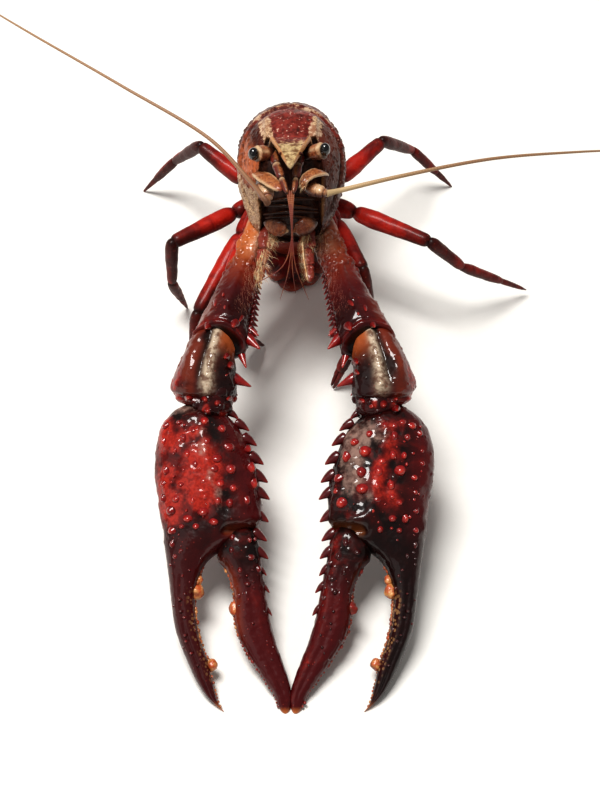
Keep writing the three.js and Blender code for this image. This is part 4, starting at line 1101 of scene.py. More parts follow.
def claw_form(side, span, outer, inner, thick, around, along, relief, marks, lean=False):
    """Fills the outline between two edge curves over a span of v: at each v the section is an oval from edge to
    edge, as thick as the third curve says. Relief moves its skin outwards."""

    def grid(t, c, s):
        v = span[0] + (span[1] - span[0]) * t
        middle, half = (outer(v) + inner(v)) / 2, (outer(v) - inner(v)) / 2
        return middle + half * c - (swing(side, v) if lean else 0), v, thick(v) * s

    def place(t, c, s):
        u, v, n = grid(t, c, s)
        raised = relief(u, v, n, c, s)
        size = np.hypot(c, s) + 1e-9
        return on_claw(side, u + raised * c / size, v, n + raised * s / size)

    return wrapped(around, along, place, 16.0, lambda t, c, s: marks(*grid(t, c, s), c, s))


print("the +x finger closes further at its tip by", float(swing(1, FINGER_SPAN[1])), "mm")

# %% [markdown]
# ## Where the knobs and the colours lie
# The red knobs stand in uneven rows, and the two hands differ in them as in their colours. An even pattern
# would look printed on, and a random one would lack the rows, so the larger knobs are set one by one. The
# colours are soft oval patches that are added up, and noise roughens them later.

# %% Tables of knobs and patches
# Knobs on the hand: [u, v, radius].
KNOBS = {
    -1: [[0.5, 3, 0.96], [3.1, 5.5, 0.84], [-3.9, 4.9, 0.96], [5.6, 7.6, 0.84], [-0.1, 8.5, 1.2],
         [-5.7, 9.8, 1.2], [-10.3, 9.4, 0.96], [4.5, 11.9, 0.96], [-0.1, 11.7, 0.9], [-2.7, 13, 1.2],
         [2.4, 14.6, 1.0], [-2, 15.6, 1.2], [-6.3, 15.7, 1.2], [-11.1, 14.7, 1.2], [0.3, 18.8, 0.96],
         [-3.6, 19.5, 1.08], [6.2, 19.7, 0.6], [-7, 20.6, 0.96], [-11.9, 18.9, 1.08], [-10.2, 23.6, 1.08],
         [-6.2, 24.6, 0.96], [-3.2, 24, 1.0], [0, 22.9, 0.8], [0.4, 26.8, 1.08], [3, 23.9, 0.72],
         [7.2, 23.2, 0.96], [10.6, 22.8, 0.84], [8.6, 26.1, 1.08], [4.3, 28.4, 0.96], [-2.4, 29.3, 0.96],
         [2.2, 30.5, 0.72], [8.3, 31.2, 0.96], [5.9, 30.4, 0.6], [8.2, 34.8, 0.72], [10.4, 3.5, 0.9],
         [10.8, 7.9, 0.72], [10, 15.7, 0.84], [7.7, 10.7, 0.6], [7, 3.2, 0.6], [10.8, 19, 0.7], [7.5, 38, 0.6],
         [6, 36.5, 0.5]],
    1: [[0.7, 4.4, 0.96], [3, 4.2, 0.96], [5.1, 3.3, 0.84], [7.5, 4, 0.96], [2.9, 7.2, 1.08], [6.3, 7.3, 0.84],
        [9.6, 5.9, 0.72], [-3.2, 6.4, 0.84], [-7, 8.2, 0.96], [0.6, 9.3, 1.2], [-4.3, 11, 1.33],
        [-8.9, 12.1, 1.2], [2.5, 12.2, 0.96], [-0.3, 13.6, 1.08], [-1.1, 16.4, 1.2], [4.3, 16.1, 1.2],
        [-5.4, 16.6, 1.2], [-11, 17.6, 1.2], [-5.2, 20.8, 1.33], [-1.6, 20.1, 1.08], [1.9, 20.1, 0.96],
        [-11.6, 21, 0.84], [-10.3, 24.1, 1.33], [-1.7, 23.5, 1.08], [-2.7, 26.5, 0.96], [2.2, 22.9, 0.72],
        [4, 24.4, 0.72], [8, 17.8, 0.72], [8.2, 21.6, 0.6], [5.5, 28.4, 0.84], [2.2, 28.5, 0.84],
        [-0.9, 31.3, 0.72], [4, 31.5, 0.6], [8.2, 31.2, 0.72], [10.2, 13.9, 0.6], [10, 10.5, 0.6],
        [5.4, 12.2, 0.72], [8.4, 26.4, 0.6], [8, 35, 0.6], [6, 38, 0.5]],
}

# Patches of colour on the hand: [u, v, half width, half length, strength].
RED_PATCHES = {
    -1: [[2.5, 17.5, 4, 8.5, 1.1], [9.5, 18, 3, 11, 0.55], [9.5, 6, 4, 5, 0.55], [-1.5, 17, 2.5, 5, 0.6],
         [0.5, 25, 2.5, 3.5, 0.7], [8.5, 27, 2.5, 4, 0.6], [4, 6, 3.5, 4, 0.35], [-5, 29, 3, 2.5, 0.35]],
    1: [[-0.5, 17.5, 2.5, 6.5, 1.0], [2.0, 24, 2.8, 3.5, 0.75], [3.2, 10, 3, 3.5, 0.55], [10, 15, 3, 13, 0.35],
        [1, 4, 5, 2.5, 0.4], [-7, 27.5, 4, 1.6, 0.45]],
}
# On the left hand, the three patches in a row from u = 1, v = 9 to u = -3.6, v = 24 paint a sheen along the crest;
# the others are a dusty bloom.
DUST_AND_SHEEN_PATCHES = {
    -1: [[8, -1, 6, 2, 1.0], [1.0, 9, 3, 6, 0.6], [-1.5, 17, 1.8, 5, 0.6], [-3.6, 24, 1.6, 5, 0.6],
         [-9, 6, 3, 3.5, 0.45]],
    1: [[-5.5, 7, 4.6, 5, 1.1], [-7.8, 16, 3.8, 8, 0.95], [0.5, 6, 3, 4, 0.5], [-4, 23, 2.5, 2.5, 0.6]],
}


def patches(table, u, v):
    """Soft oval patches added up: each is its strength times a bell curve in u and one in v."""
    return sum(amount * ridge(u, at_u, a) * ridge(v, at_v, b) for at_u, at_v, a, b, amount in table)


print("knobs on the two hands:", [len(KNOBS[side]) for side in (-1, 1)])

# %% [markdown]
# ## Relief and colour of the claws
# The palm swells unevenly. A groove runs down each finger, and a lip and a furrow cross the palm where
# the moving finger is hinged. All of it is a sum of bell curves over the claw's own u and v, faded in and
# out by smooth steps, so it can be moved without touching the grid.


# %% Relief and colour of the hand
HINGE_V = 31.3


def hinge_line(u, v):
    """v measured along lines that slant by 0.12 with u, as the hinge does."""
    return v - 0.12 * (u + 8)


def hand_relief(side):
    """Swells and small domes on the palm, a groove on the fixed finger, the hinge's furrow and lip, a keel."""
    def relief(u, v, n, c, s):
        flat = on_claw(side, u, v, n)
        palm, upper = steps(v, 38, 30), steps(s, -0.1, 0.3)
        groove = -0.45 * ridge(c, 0.15, 0.22) * steps(v, 40, 46) * steps(v, 77, 70) * (np.abs(s) > 0.3)
        hinge = -1.5 * ridge(hinge_line(u, v), HINGE_V, 1.0) * steps(u, -3, -6) * upper
        lip = 0.9 * ridge(hinge_line(u, v), HINGE_V - 2.7, 1.5) * steps(u, -3, -6) * upper
        keel = 0.7 * ridge(u + 1.8 + 0.2 * (v - 20), 0, 1.7) * steps(v, 2, 6) * steps(v, 31, 27) * upper
        swell = palm * (0.45 * cloud(flat, 6.0, 21) + 0.22 * cloud(flat, 2.5, 22) + 0.09 * cloud(flat, 1.3, 29))
        small = 0.16 * grains(flat, 2.0, 0.5, 23) * (0.3 + 0.7 * palm)
        return swell + small + groove + hinge + lip + keel + 0.04 * cloud(flat, 1.0, 24)

    return relief


def hand_marks(side):
    """Shares of red, dusty bloom and painted sheen, maroon, black, beads and tip. The red is the patches made
    uneven, with a halo round each knob."""
    def marks(u, v, n, c, s):
        flat = on_claw(side, u, v, n)
        uneven = 1 + 0.5 * cloud(flat, 3.0, 25)
        halo = patches([[a, b, 1.7 * r, 1.7 * r, 0.5] for a, b, r in KNOBS[side] if b < 26], u, v)
        edge = (0.45 if side < 0 else 0.1) * steps(c, 0.6, 0.95) * steps(v, 36, 24)
        red = (patches(RED_PATCHES[side], u, v) * uneven + halo + edge) * (1 if side < 0 else 0.74)
        membrane = ridge(hinge_line(u, v), HINGE_V, 1.3) * steps(u, -4.5, -6) * (1.0 if side > 0 else 0.25)
        beaded = steps(c, -0.2, -0.55) * steps(v, 44, 50) * steps(v, 74, 66) * steps(s, -0.3, 0.2)
        shade = (0.15 * steps(v, 30, 40) if side < 0 else 0.75 * steps(v, 24, 36)) * steps(v, 78, 70)
        maroon = (0.75 if side < 0 else 0.25) * steps(v, 24, 44) + steps(c * side, 0.3, 0.8) * steps(v, 60, 30)
        made = {"red": red, "dust": patches(DUST_AND_SHEEN_PATCHES[side], u, v) * uneven, "maroon": maroon,
                "black": shade * (1 - 0.8 * beaded), "bead": beaded * (0.5 if side < 0 else 0.9),
                "tip": 0.8 * steps(v, 74, 77) + 0.55 * membrane}
        return {name: np.clip(value, 0, 1) for name, value in made.items()}

    return marks


print("the hinge is", HINGE_V, "mm from the wrist")


# %% Relief and colour of the moving finger, and both claws
def finger_relief(side):
    """A groove along the finger, small domes near its root, and fine unevenness."""
    def relief(u, v, n, c, s):
        flat = on_claw(side, u, v, n)
        groove = -0.4 * ridge(c, -0.1, 0.22) * steps(v, 36, 42) * steps(v, 77, 70) * (np.abs(s) > 0.3)
        return groove + 0.2 * grains(flat, 2.0, 0.5, 26) * steps(v, 60, 45) + 0.1 * cloud(flat, 1.2, 27)

    return relief


def finger_marks(side):
    """Shares of red, maroon, a warm rim on the meeting edge, and the orange tip."""
    def marks(u, v, n, c, s):
        flat = on_claw(side, u, v, n)
        red = 0.1 + 0.2 * cloud(flat, 4.0, 28) + 0.35 * ridge(c, -0.6, 0.25) * (side > 0)
        rim = steps(c, 0.3, 0.9) * steps(v, 36, 44) * steps(v, 62, 54) * (0.85 if side < 0 else 0.1)
        return {"red": np.clip(red, 0, 1), "tip": 0.8 * steps(v, 75.6, 77.4), "warm": rim,
                "maroon": steps(v, 36, 50)}

    return marks


HAND_GRID, FINGER_GRID = (208, 352), (116, 216)  # points round and along


def claw_skins(side):
    """The hand with its fixed finger, and the moving finger."""
    hand = claw_form(side, HAND_SPAN, hand_outer, hand_inner, hand_thick, *HAND_GRID, hand_relief(side),
                     hand_marks(side))
    finger = claw_form(side, FINGER_SPAN, finger_outer, finger_inner, finger_thick, *FINGER_GRID,
                       finger_relief(side), finger_marks(side), lean=True)
    return [hand, finger]


for side, word in ((-1, "left"), (1, "right")):
    piece(f"claw_{word}", claw_skins(side), CLAW)


# %% [markdown]
# ## Spines on the claw's edge
# Big spines stand along the inner edge, in the places that they have in the plain solid. The foot of each
# is sunk in the claw, since a spine that only touches the skin would show a gap.

# %% Spines along the inner edge
# Each spine: v, how far it stands out, and its radius.
EDGE_SPINES = [
    [1.2, 1.5, 1.0], [4.2, 2.2, 1.35], [8.2, 2.4, 1.5], [13.2, 2.4, 1.6], [18, 2.4, 1.6], [22.5, 2.3, 1.5],
    [28.4, 2.3, 1.6], [33.4, 2.2, 1.5], [38, 1.9, 1.4], [42.4, 1.2, 1.1], [46.8, 1.4, 1.1], [52.6, 1, 1],
]


def edge_spines(side):
    """Thorns from inside the edge to a point beyond it, bent a little. The left ones get small past v = 40."""
    skins = []
    for v, reach, radius in EDGE_SPINES:
        moving = v > HINGE_V
        radius, reach = (0.7 * radius, 0.7 * reach) if side < 0 and v > 40 else (radius, reach)
        edge = (finger_inner(v) - swing(side, v)) if moving else hand_inner(v)
        foot, tip = on_claw(side, edge + 1.6, v - 2.2, 0.4), on_claw(side, edge - reach, v + 0.3, 1)
        bend = 0.2 * np.array([-side, 0, 0]) - 0.1 * CLAW_DOWN
        spine = thorn(foot, tip, radius * 1.15, bend=bend, around=16, along=14)
        spine["marks"]["deep"] = 0.35 + 0.5 * (1 - spine["marks"]["tip"])
        skins.append(spine)
    return skins


print("spines on each claw:", len(EDGE_SPINES))

# %% [markdown]
# ## Knobs
# A knob is a blunt cone that leans towards the fingertips. It could be a bump in the finish, but its outline
# shows against the light, so it is a small mesh. The larger ones stand where the tables say, and a seeded
# draw scatters far smaller ones between them.


# %% Knobs on the hands and fingers
def claw_surface(side, u, v, moving=False):
    """Height of the upper skin over (u, v), from the oval section, and how far across it that is, -1 to 1."""
    forms = (finger_outer, finger_inner, finger_thick), (hand_outer, hand_inner, hand_thick)
    outer, inner, thick = forms[0 if moving else 1]
    middle, half = (outer(v) + inner(v)) / 2 - (swing(side, v) if moving else 0), (outer(v) - inner(v)) / 2
    across = np.clip((u - middle) / half, -0.98, 0.98)
    return thick(v) * np.sqrt(1 - across**2), across


FINGER_KNOBS = {
    -1: [[-7.2, 33.2, 0.72], [-11.3, 33.8, 0.6], [-12.6, 33.4, 0.48], [-11.6, 38.2, 0.84], [-7, 36.5, 0.72],
         [-9.1, 41.6, 0.6], [-13.5, 41.1, 0.77], [-11, 45, 0.6], [-9, 48, 0.5]],
    1: [[-9.6, 34.6, 0.84], [-6.7, 37, 0.72], [-11.2, 38, 0.84], [-12.7, 43.6, 0.72], [-9.9, 42.1, 0.6],
        [-13.2, 39.6, 0.7], [-12, 47, 0.6], [-14.5, 48.5, 0.55]],
}


def dome(side, u, v, radius, moving=False):
    """A knob on the upper face: a blunt cone, square to the skin but for its lean towards the fingertips."""
    n, across = claw_surface(side, u, v, moving)
    foot = on_claw(side, u, v, n - 0.8 * radius)
    out = on_claw(side, across * 0.8, 0.45, np.sqrt(1 - across**2)) - on_claw(side, 0, 0, 0)
    top = foot + out / np.linalg.norm(out) * 1.7 * radius
    sway = 1 + 0.16 * np.sin(7 * u + 3 * v)
    sizes = ((0, 1.75), (0.3, 1.3), (0.55, 0.95), (0.8, 0.7), (1, 0.25))
    wide = through([[t, radius * size] for t, size in sizes])
    glow = 0.5 + 0.5 * np.sin(11 * u + 5 * v)
    dim = steps(v, 26, 40) * (0.55 if side < 0 else 0.85)
    deep = lambda t: np.clip(0.35 * (1 - glow) + 0.8 * steps(t, 0.45, 0.1) + dim, 0, 1)
    marks = lambda t, c, s: {"tip": (0.2 + 0.6 * glow) * steps(t, 0.5, 1) * (1 - dim), "deep": deep(t)}
    return limb([foot, top], lambda t: wide(t) * sway, thick=lambda t: wide(t) / sway, flat=CLAW_DOWN, around=14,
                along=12, blunt=4, marks=marks)


def knobs(side, seed):
    """The knobs of the tables, then a seeded scatter of far smaller ones over the outer half and both fingers."""
    luck = np.random.default_rng(seed)
    skins = [dome(side, u, v, radius) for u, v, radius in KNOBS[side]]
    skins += [dome(side, u - swing(side, v), v, radius, moving=True) for u, v, radius in FINGER_KNOBS[side]]
    for v in np.arange(4, 66, 1.5):
        share = luck.uniform(0.45, 0.9) if v < 36 else luck.uniform(0.1, 0.9)
        u = hand_inner(v) + share * (hand_outer(v) - hand_inner(v))
        skins.append(dome(side, u, v, 0.32 * luck.uniform(0.7, 1.2)))
        if v > 40:
            u = finger_inner(v) - swing(side, v) + luck.uniform(0.1, 0.9) * (finger_outer(v) - finger_inner(v))
            skins.append(dome(side, u, v, 0.26 * luck.uniform(0.7, 1.2), moving=True))
    return skins


print("the largest knob is", max(knob[2] for side in (-1, 1) for knob in KNOBS[side]), "mm in radius")

# %% [markdown]
# ## Teeth
# The two fingers meet along rows of tan beads with a few large lumpy teeth among them. The beads could be one
# wavy ridge, but real ones stand apart and differ in size, so each is an egg sunk halfway into the edge.

# %% Teeth, and the three small pieces of each claw
# The larger teeth: the edge they stand on, v, radius, and how far they stand out.
LARGE_TEETH = [(hand_inner, 46.6, 1.75, -0.4), (hand_inner, 43.6, 1.05, -0.2), (hand_inner, 65.2, 1.35, -0.7),
               (finger_outer, 51, 1.6, -0.1)]


def teeth(side, seed):
    """Half-buried beads along both meeting edges, about 1 mm apart, and four larger lumpy teeth."""
    luck = np.random.default_rng(seed)
    skins = []
    for v in np.arange(40.5, 76, 0.95):
        for edge, lean in ((hand_inner, 0), (finger_outer, swing(side, v))):
            inwards = 1 if edge is hand_inner else -1
            size = (0.42 + 0.25 * luck.random()) * (0.65 if v > 66 else 1)
            u = edge(v) - lean + inwards * luck.uniform(0, 0.35)
            place = on_claw(side, u, v + luck.uniform(-0.2, 0.2), luck.uniform(-0.4, 0.7))
            bead = ball(place, (size, size * 1.15, size), 10, 7)
            reddened = edge is finger_outer and (side > 0 or v > 58)
            bead["marks"] |= {"dull": np.full(len(bead["points"]), 0.9 * luck.random()),
                              "red": np.full(len(bead["points"]), 0.85 if reddened else 0.0)}
            skins.append(bead)
    for edge, v, radius, reach in LARGE_TEETH:
        lean = swing(side, v) if edge is finger_outer else 0
        place = on_claw(side, edge(v) + reach - lean, v, 0.3)
        lumpy = ball(place, (radius, radius * 1.2, radius), 30, 22)
        swell = (0.3 * cloud(lumpy["points"], 1.3, seed) + 0.1 * cloud(lumpy["points"], 0.6, seed))[:, None]
        lumpy["points"] = lumpy["points"] + (lumpy["points"] - place) / radius * swell
        lumpy["marks"] |= {"dull": 0.8 * steps(cloud(lumpy["points"], 1.6, seed + 2), 0, 0.6),
                           "red": np.full(len(lumpy["points"]), 0.9 * (edge is finger_outer and side > 0))}
        skins.append(lumpy)
    return skins


for side, word in ((-1, "left"), (1, "right")):
    piece(f"claw_spines_{word}", edge_spines(side), KNOB)
    piece(f"claw_knobs_{word}", knobs(side, 40 + side), KNOB)
    piece(f"claw_teeth_{word}", teeth(side, 50 + side), TOOTH)

# %% [markdown]
# ## Arms
# From the body out, an arm has a short root, a long joint that widens into a collar, and a wrist joint
# shaped like a pear, with a short furrow between its outer lobe and a tan ridge. A lumpy lobe runs on from
# it over the hand. The collar's upper edge is cut back in an arch, so its skin slides back along the path
# there, which keeps it one closed surface where a cut would leave an open rim.


# %% Where the arm's joints are
def arm_points(side):
    """Hip, elbow, bend and wrist of an arm. The bend follows most of the claws' sway."""
    hip, elbow = on_body(side * 7, 30, -15), spot(side * 10.4, 48.5, 39.8)
    bend = spot(CLAW_SWAY * 0.8 + side * 19.4, 15.5, 38.5)
    return hip, elbow, bend, on_claw(side, 1.4, -1.5, 0)


def long_path(side):
    """The long joint's path: from behind the elbow, through its middle, to a little past the bend."""
    hip, elbow, bend, _ = arm_points(side)
    return [elbow - 0.35 * (elbow - hip), (elbow + bend) / 2, bend + 0.09 * (bend - elbow)]


ARM_UP = np.array([0, -0.35, 0.94])
LONG_WIDE = through([[0, 3.6], [0.25, 4.1], [0.5, 5.3], [0.75, 6.6], [1, 8]])
LONG_THICK = through([[0, 3.6], [0.25, 3.9], [0.5, 4.9], [1, 6.6]])


def shell_grain(p, seed):
    """The shell's own relief at point p, in millimetres: swells of 4 mm and 1 mm, and small domes."""
    return 0.22 * cloud(p, 4.0, seed) + 0.1 * cloud(p, 1.1, seed + 1) + 0.2 * grains(p, 2.0, 0.45, seed + 2)


print("hip and elbow of the right arm:", arm_points(1)[0].round(1), arm_points(1)[1].round(1))


# %% The long joint
def long_joint(side):
    """The long joint widens into a collar. Near its end the skin slides back by 1 - c^2, which cuts an arch into
    the collar's upper edge. A rim, a crest and grains near the root are added."""
    def relief(t, c, s, p):
        rim = 0.5 * ridge(t, 0.96, 0.02) * steps(s, -0.5, 0) - 0.35 * ridge(t, 0.92, 0.02) * steps(s, -0.3, 0.2)
        crest = 0.7 * ridge(c, -0.05, 0.2) * steps(t, 0.3, 0.55) * steps(t, 0.9, 0.8) * (s > 0)
        root = 0.7 * grains(p, 2.2, 1.1, 61) * steps(t, 0.5, 0.35)
        return shell_grain(p, 63) + rim + crest + root + 0.35 * cloud(p, 3.2, 62)

    def marks(t, c, s):
        outer, hem = steps(c * side, 0.35, 0.9), ridge(t, 0.93, 0.05)
        orange = (0.68 if side < 0 else 0.2) * steps(t, 0.42, 0.12) * steps(c * side, -0.6, 0.1)
        inner = 0.6 * steps(t, 0.5, 0.75) * steps(c * side, 0.3, -0.2) * steps(t, 0.96, 0.9)
        made = {"red": 0.35 * steps(t, 0.6, 0.3) + 0.45 * hem + 0.25 * outer, "tip": orange,
                "warm": (1 if side < 0 else 0.5) * steps(t, 0.6, 0.3) + 0.6 * outer * steps(t, 0.5, 0.8),
                # Black at the collar's very end is painted shade in the gap before the wrist joint.
                "maroon": 0.7 + 0.3 * steps(t, 0.8, 0.4), "black": np.maximum(steps(t, 0.972, 0.985), inner),
                "tan": (0.75 if side < 0 else 0.25) * steps(t, 0.3, 0.08) * steps(c * side, 0.5, 0),
                # The pale taupe band along the outer edge is a painted sheen.
                "dust": 0.5 * steps(c * side, 0.45, 0.8) * steps(t, 0.35, 0.5)}
        return {name: np.clip(value, 0, 1) for name, value in made.items()}

    arch = lambda t, c, s: 0.085 * (1 - c**2) * steps(s, -0.2, 0.4) * steps(t, 0.6, 1)
    return limb(long_path(side), LONG_WIDE, thick=LONG_THICK, flat=ARM_UP, around=140, along=190, blunt=20,
                relief=relief, marks=marks, slide=arch)


print("the collar is", 2 * float(LONG_WIDE(1)), "mm wide")


# %% The wrist joint
def along_path(path, t, c):
    """A point beside a straight path, 5 mm out at c = 1, for noise that must follow the skin."""
    start, end = np.array(path[0]), np.array(path[1])
    return start + np.asarray(t)[..., None] * (end - start) + 5 * np.asarray(c)[..., None] * np.array([1.0, 0, 0])


def wrist_joint(side):
    """A pear that bulges outwards. A short furrow, dark with painted shade, parts its outer lobe from a broad tan
    ridge: across is 0 in the furrow, which slants, and every part is a bell curve over it."""
    _, _, bend, wrist = arm_points(side)
    across = lambda t, c: c * side - 0.16 - 0.14 * (0.45 - t)
    span = lambda t: steps(t, 0.1, 0.25) * steps(t, 0.68, 0.5)

    def relief(t, c, s, p):
        furrow = -1.1 * ridge(across(t, c), 0, 0.13) * steps(s, 0, 0.3) * span(t)
        crest = 0.8 * ridge(across(t, c), -0.3, 0.2) * (s > 0) * steps(t, 0.05, 0.2) * steps(t, 0.8, 0.65)
        lobe = 1.3 * ridge(across(t, c), 0.4, 0.26) * steps(s, -0.3, 0.3) * ridge(t, 0.5, 0.3)
        pits = 0.22 * grains(p, 0.9, 0.4, 78) * ridge(across(t, c), -0.2, 0.2) * (s > 0)
        hem = -0.9 * ridge(t, 0.82, 0.04) * steps(s, -0.3, 0.2) + 0.5 * ridge(t, 0.91, 0.05)
        lumps = 0.4 * cloud(p, 3.0, 68) * steps(t, 0.1, 0.3)
        return shell_grain(p, 69) + furrow + crest + lobe + hem + lumps + pits

    def marks(t, c, s):
        outer, upper = steps(across(t, c), 0, 0.2), steps(s, 0, 0.3)
        amber = ridge(t, 0.16, 0.14) * upper * steps(across(t, c), -0.3, -0.5)
        tan = ridge(across(t, c), -0.27, 0.19) * steps(t, 0.03, 0.12) * steps(t, 0.84, 0.66) * upper
        p = along_path([bend, wrist], t, c * side)
        blotch, glow = steps(cloud(p, 2.6, 76), -0.2, 0.5), steps(cloud(p, 2.0, 77), 0, 0.6)
        # Black along the furrow is painted shade; the blotches of black beside it are the shell's own.
        furrow = 0.5 * ridge(across(t, c), 0.04, 0.09) + 0.85 * ridge(across(t, c), 0.2, 0.14) * blotch
        inner = 0.55 * steps(across(t, c), -0.5, -0.7) * steps(t, 0.3, 0.5)
        margin = 0.75 * outer * steps(c * side, 0.45, 0.85) * steps(t, 0.2, 0.6)
        made = {"tan": 1.1 * tan, "tip": 0.4 * amber, "maroon": 0.2 + 0.5 * steps(t, 0.5, 0.9),
                "warm": outer * steps(t, 0.98, 0.7) * (0.62 - 0.5 * blotch + 0.3 * glow) + amber,
                "red": 0.6 * ridge(t, 0.92, 0.08) + margin, "black": furrow * upper * span(t) + inner}
        return {name: np.clip(value, 0, 0.9) for name, value in made.items()}

    middle = bend * 0.5 + wrist * 0.5 + spot(side * 1.3, 0, 1)
    wide = through([[0, 5.4], [0.3, 6.6], [0.55, 8], [0.8, 8.6], [1, 6.6]])
    thick = through([[0, 5.4], [0.4, 6.7], [0.75, 6.8], [1, 5.4]])
    return limb([bend + spot(0, 6, -0.3), middle, wrist], wide, thick, flat=ARM_UP, around=180, along=190,
                blunt=5, relief=relief, marks=marks)


print("bend and wrist of the right arm:", arm_points(1)[2].round(1), arm_points(1)[3].round(1))


# %% The lobe over the hand, and the arm's skins together
def wrist_lobe(side):
    """The lumpy lobe that runs on from the wrist joint over the top of the hand, on the inner side."""
    _, _, bend, wrist = arm_points(side)
    path = [(bend + wrist) / 2 + spot(-side, 0, 0), on_claw(side, -0.6, 1.8, 1.4)]
    lumps = lambda t, c, s, p: shell_grain(p, 71) + 0.9 * grains(p, 3.2, 1.5, 72) + 0.4 * cloud(p, 2.4, 73)

    def marks(t, c, s):
        bumps = steps(cloud(along_path(path, t, c), 2.2, 74), 0.1, 0.7)
        return {"red": 0.25 + 0.6 * bumps, "maroon": 0.6 + 0 * t, "black": 0.5 * (1 - bumps)}

    wide = through([[0, 5], [0.6, 5.6], [1, 4.6]])
    return limb(path, wide, thick=5.2, flat=ARM_UP, around=110, along=90, blunt=5, relief=lumps, marks=marks)


def arm_skins(side):
    """The root, the long joint, the knuckle at the bend, the wrist joint and its lobe."""
    hip, elbow, bend, _ = arm_points(side)
    orange = 0.8 if side < 0 else 0.2
    brown = lambda t, c, s: {"warm": 0.9 + 0 * t, "red": 0.3 + 0 * t, "tip": orange * steps(t, 0.1, 0.5)}
    dark = lambda t, c, s: {"warm": 0.6 + 0 * t, "red": 0.2 + 0 * t}
    rough = lambda t, c, s, p: shell_grain(p, 60)
    root = limb([hip, elbow], 3.9, thick=3.8, around=60, along=40, relief=rough, marks=brown)
    knuckle = limb([bend + spot(side * 3, 5, -0.6), bend + spot(side * 4, -2.6, -1.4)], 3.6, thick=4, flat=ARM_UP,
                   around=60, along=50, blunt=4, relief=lambda t, c, s, p: shell_grain(p, 66), marks=dark)
    return [root, long_joint(side), knuckle, wrist_joint(side), wrist_lobe(side)]


print("from bend to wrist:", round(float(np.linalg.norm(arm_points(1)[3] - arm_points(1)[2])), 1), "mm")

# %% [markdown]
# ## Spines, knobs and hair of the arms
# Small thorns stand close together along the long joint's inner side, big ones jut out at the bend and the
# wrist, and rounder knobs sit on top. All of them and the hair need a foot on the skin, and `limb_top` gives
# a point there from the same curves that made the joint.


# %% A point on the arm, and its tables of knobs
def limb_top(side, t, across, lift=0.0):
    """A point on the upper skin of the long joint: t along it, across from -1 inside to 1 outside."""
    height = LONG_THICK(t) * np.sqrt(1 - np.minimum(np.abs(across), 1.0) ** 2) + lift
    return path_through(long_path(side))(t) + spot(side * LONG_WIDE(t) * across, 0, 0) + height * ARM_UP


# Knobs on the long joint: [t along it, across, radius]; on the wrist joint: [t, inwards, height, radius].
LONG_KNOBS = {
    -1: [[0.52, 0.29, 0.9], [0.57, 0.45, 1.0], [0.62, 0.12, 1.0], [0.65, 0.63, 1.2], [0.69, 0.12, 1.3],
         [0.84, -0.42, 1.4], [0.85, 0.55, 1.2], [0.78, -0.6, 0.8], [0.46, 0.1, 0.7]],
    1: [[0.6, 0.01, 1.1], [0.66, -0.15, 1.2], [0.7, 0.32, 1.1], [0.74, -0.07, 1.2], [0.86, -0.55, 1.4],
        [0.84, 0.35, 1.1], [0.5, 0.1, 0.8], [0.46, -0.15, 0.7]],
}
WRIST_KNOBS = {
    -1: [[0.28, 1.1, 6.3, 0.9], [0.28, 3.0, 6.0, 1.0], [0.4, 4.6, 5.5, 1.0], [0.53, 4.2, 5.6, 1.1],
         [0.46, 1.1, 6.3, 0.8], [0.66, 3.4, 5.9, 1.0], [0.9, 0.9, 6.6, 1.5], [0.95, 4.0, 6.2, 1.4],
         [1.06, 2.2, 6.4, 1.6], [0.87, -3.6, 6.0, 1.4], [0.86, 6.2, 4.6, 1.1]],
    1: [[0.35, 4.6, 5.5, 1.0], [0.38, 1.4, 6.3, 1.0], [0.5, 5.0, 5.3, 1.0], [0.63, 4.6, 5.5, 1.1],
        [0.71, 4.2, 5.6, 1.0], [0.98, 1.1, 6.6, 1.5], [0.99, 4.0, 6.2, 1.5], [0.9, 5.7, 4.9, 1.3],
        [1.04, -2.0, 6.2, 1.1], [0.88, -2.6, 6.0, 1.1]],
}


print("knobs on the arms:", sum(len(table[side]) for table in (LONG_KNOBS, WRIST_KNOBS) for side in (-1, 1)))

# %% Spines and knobs of an arm
THORNS_IN_ROW = 12


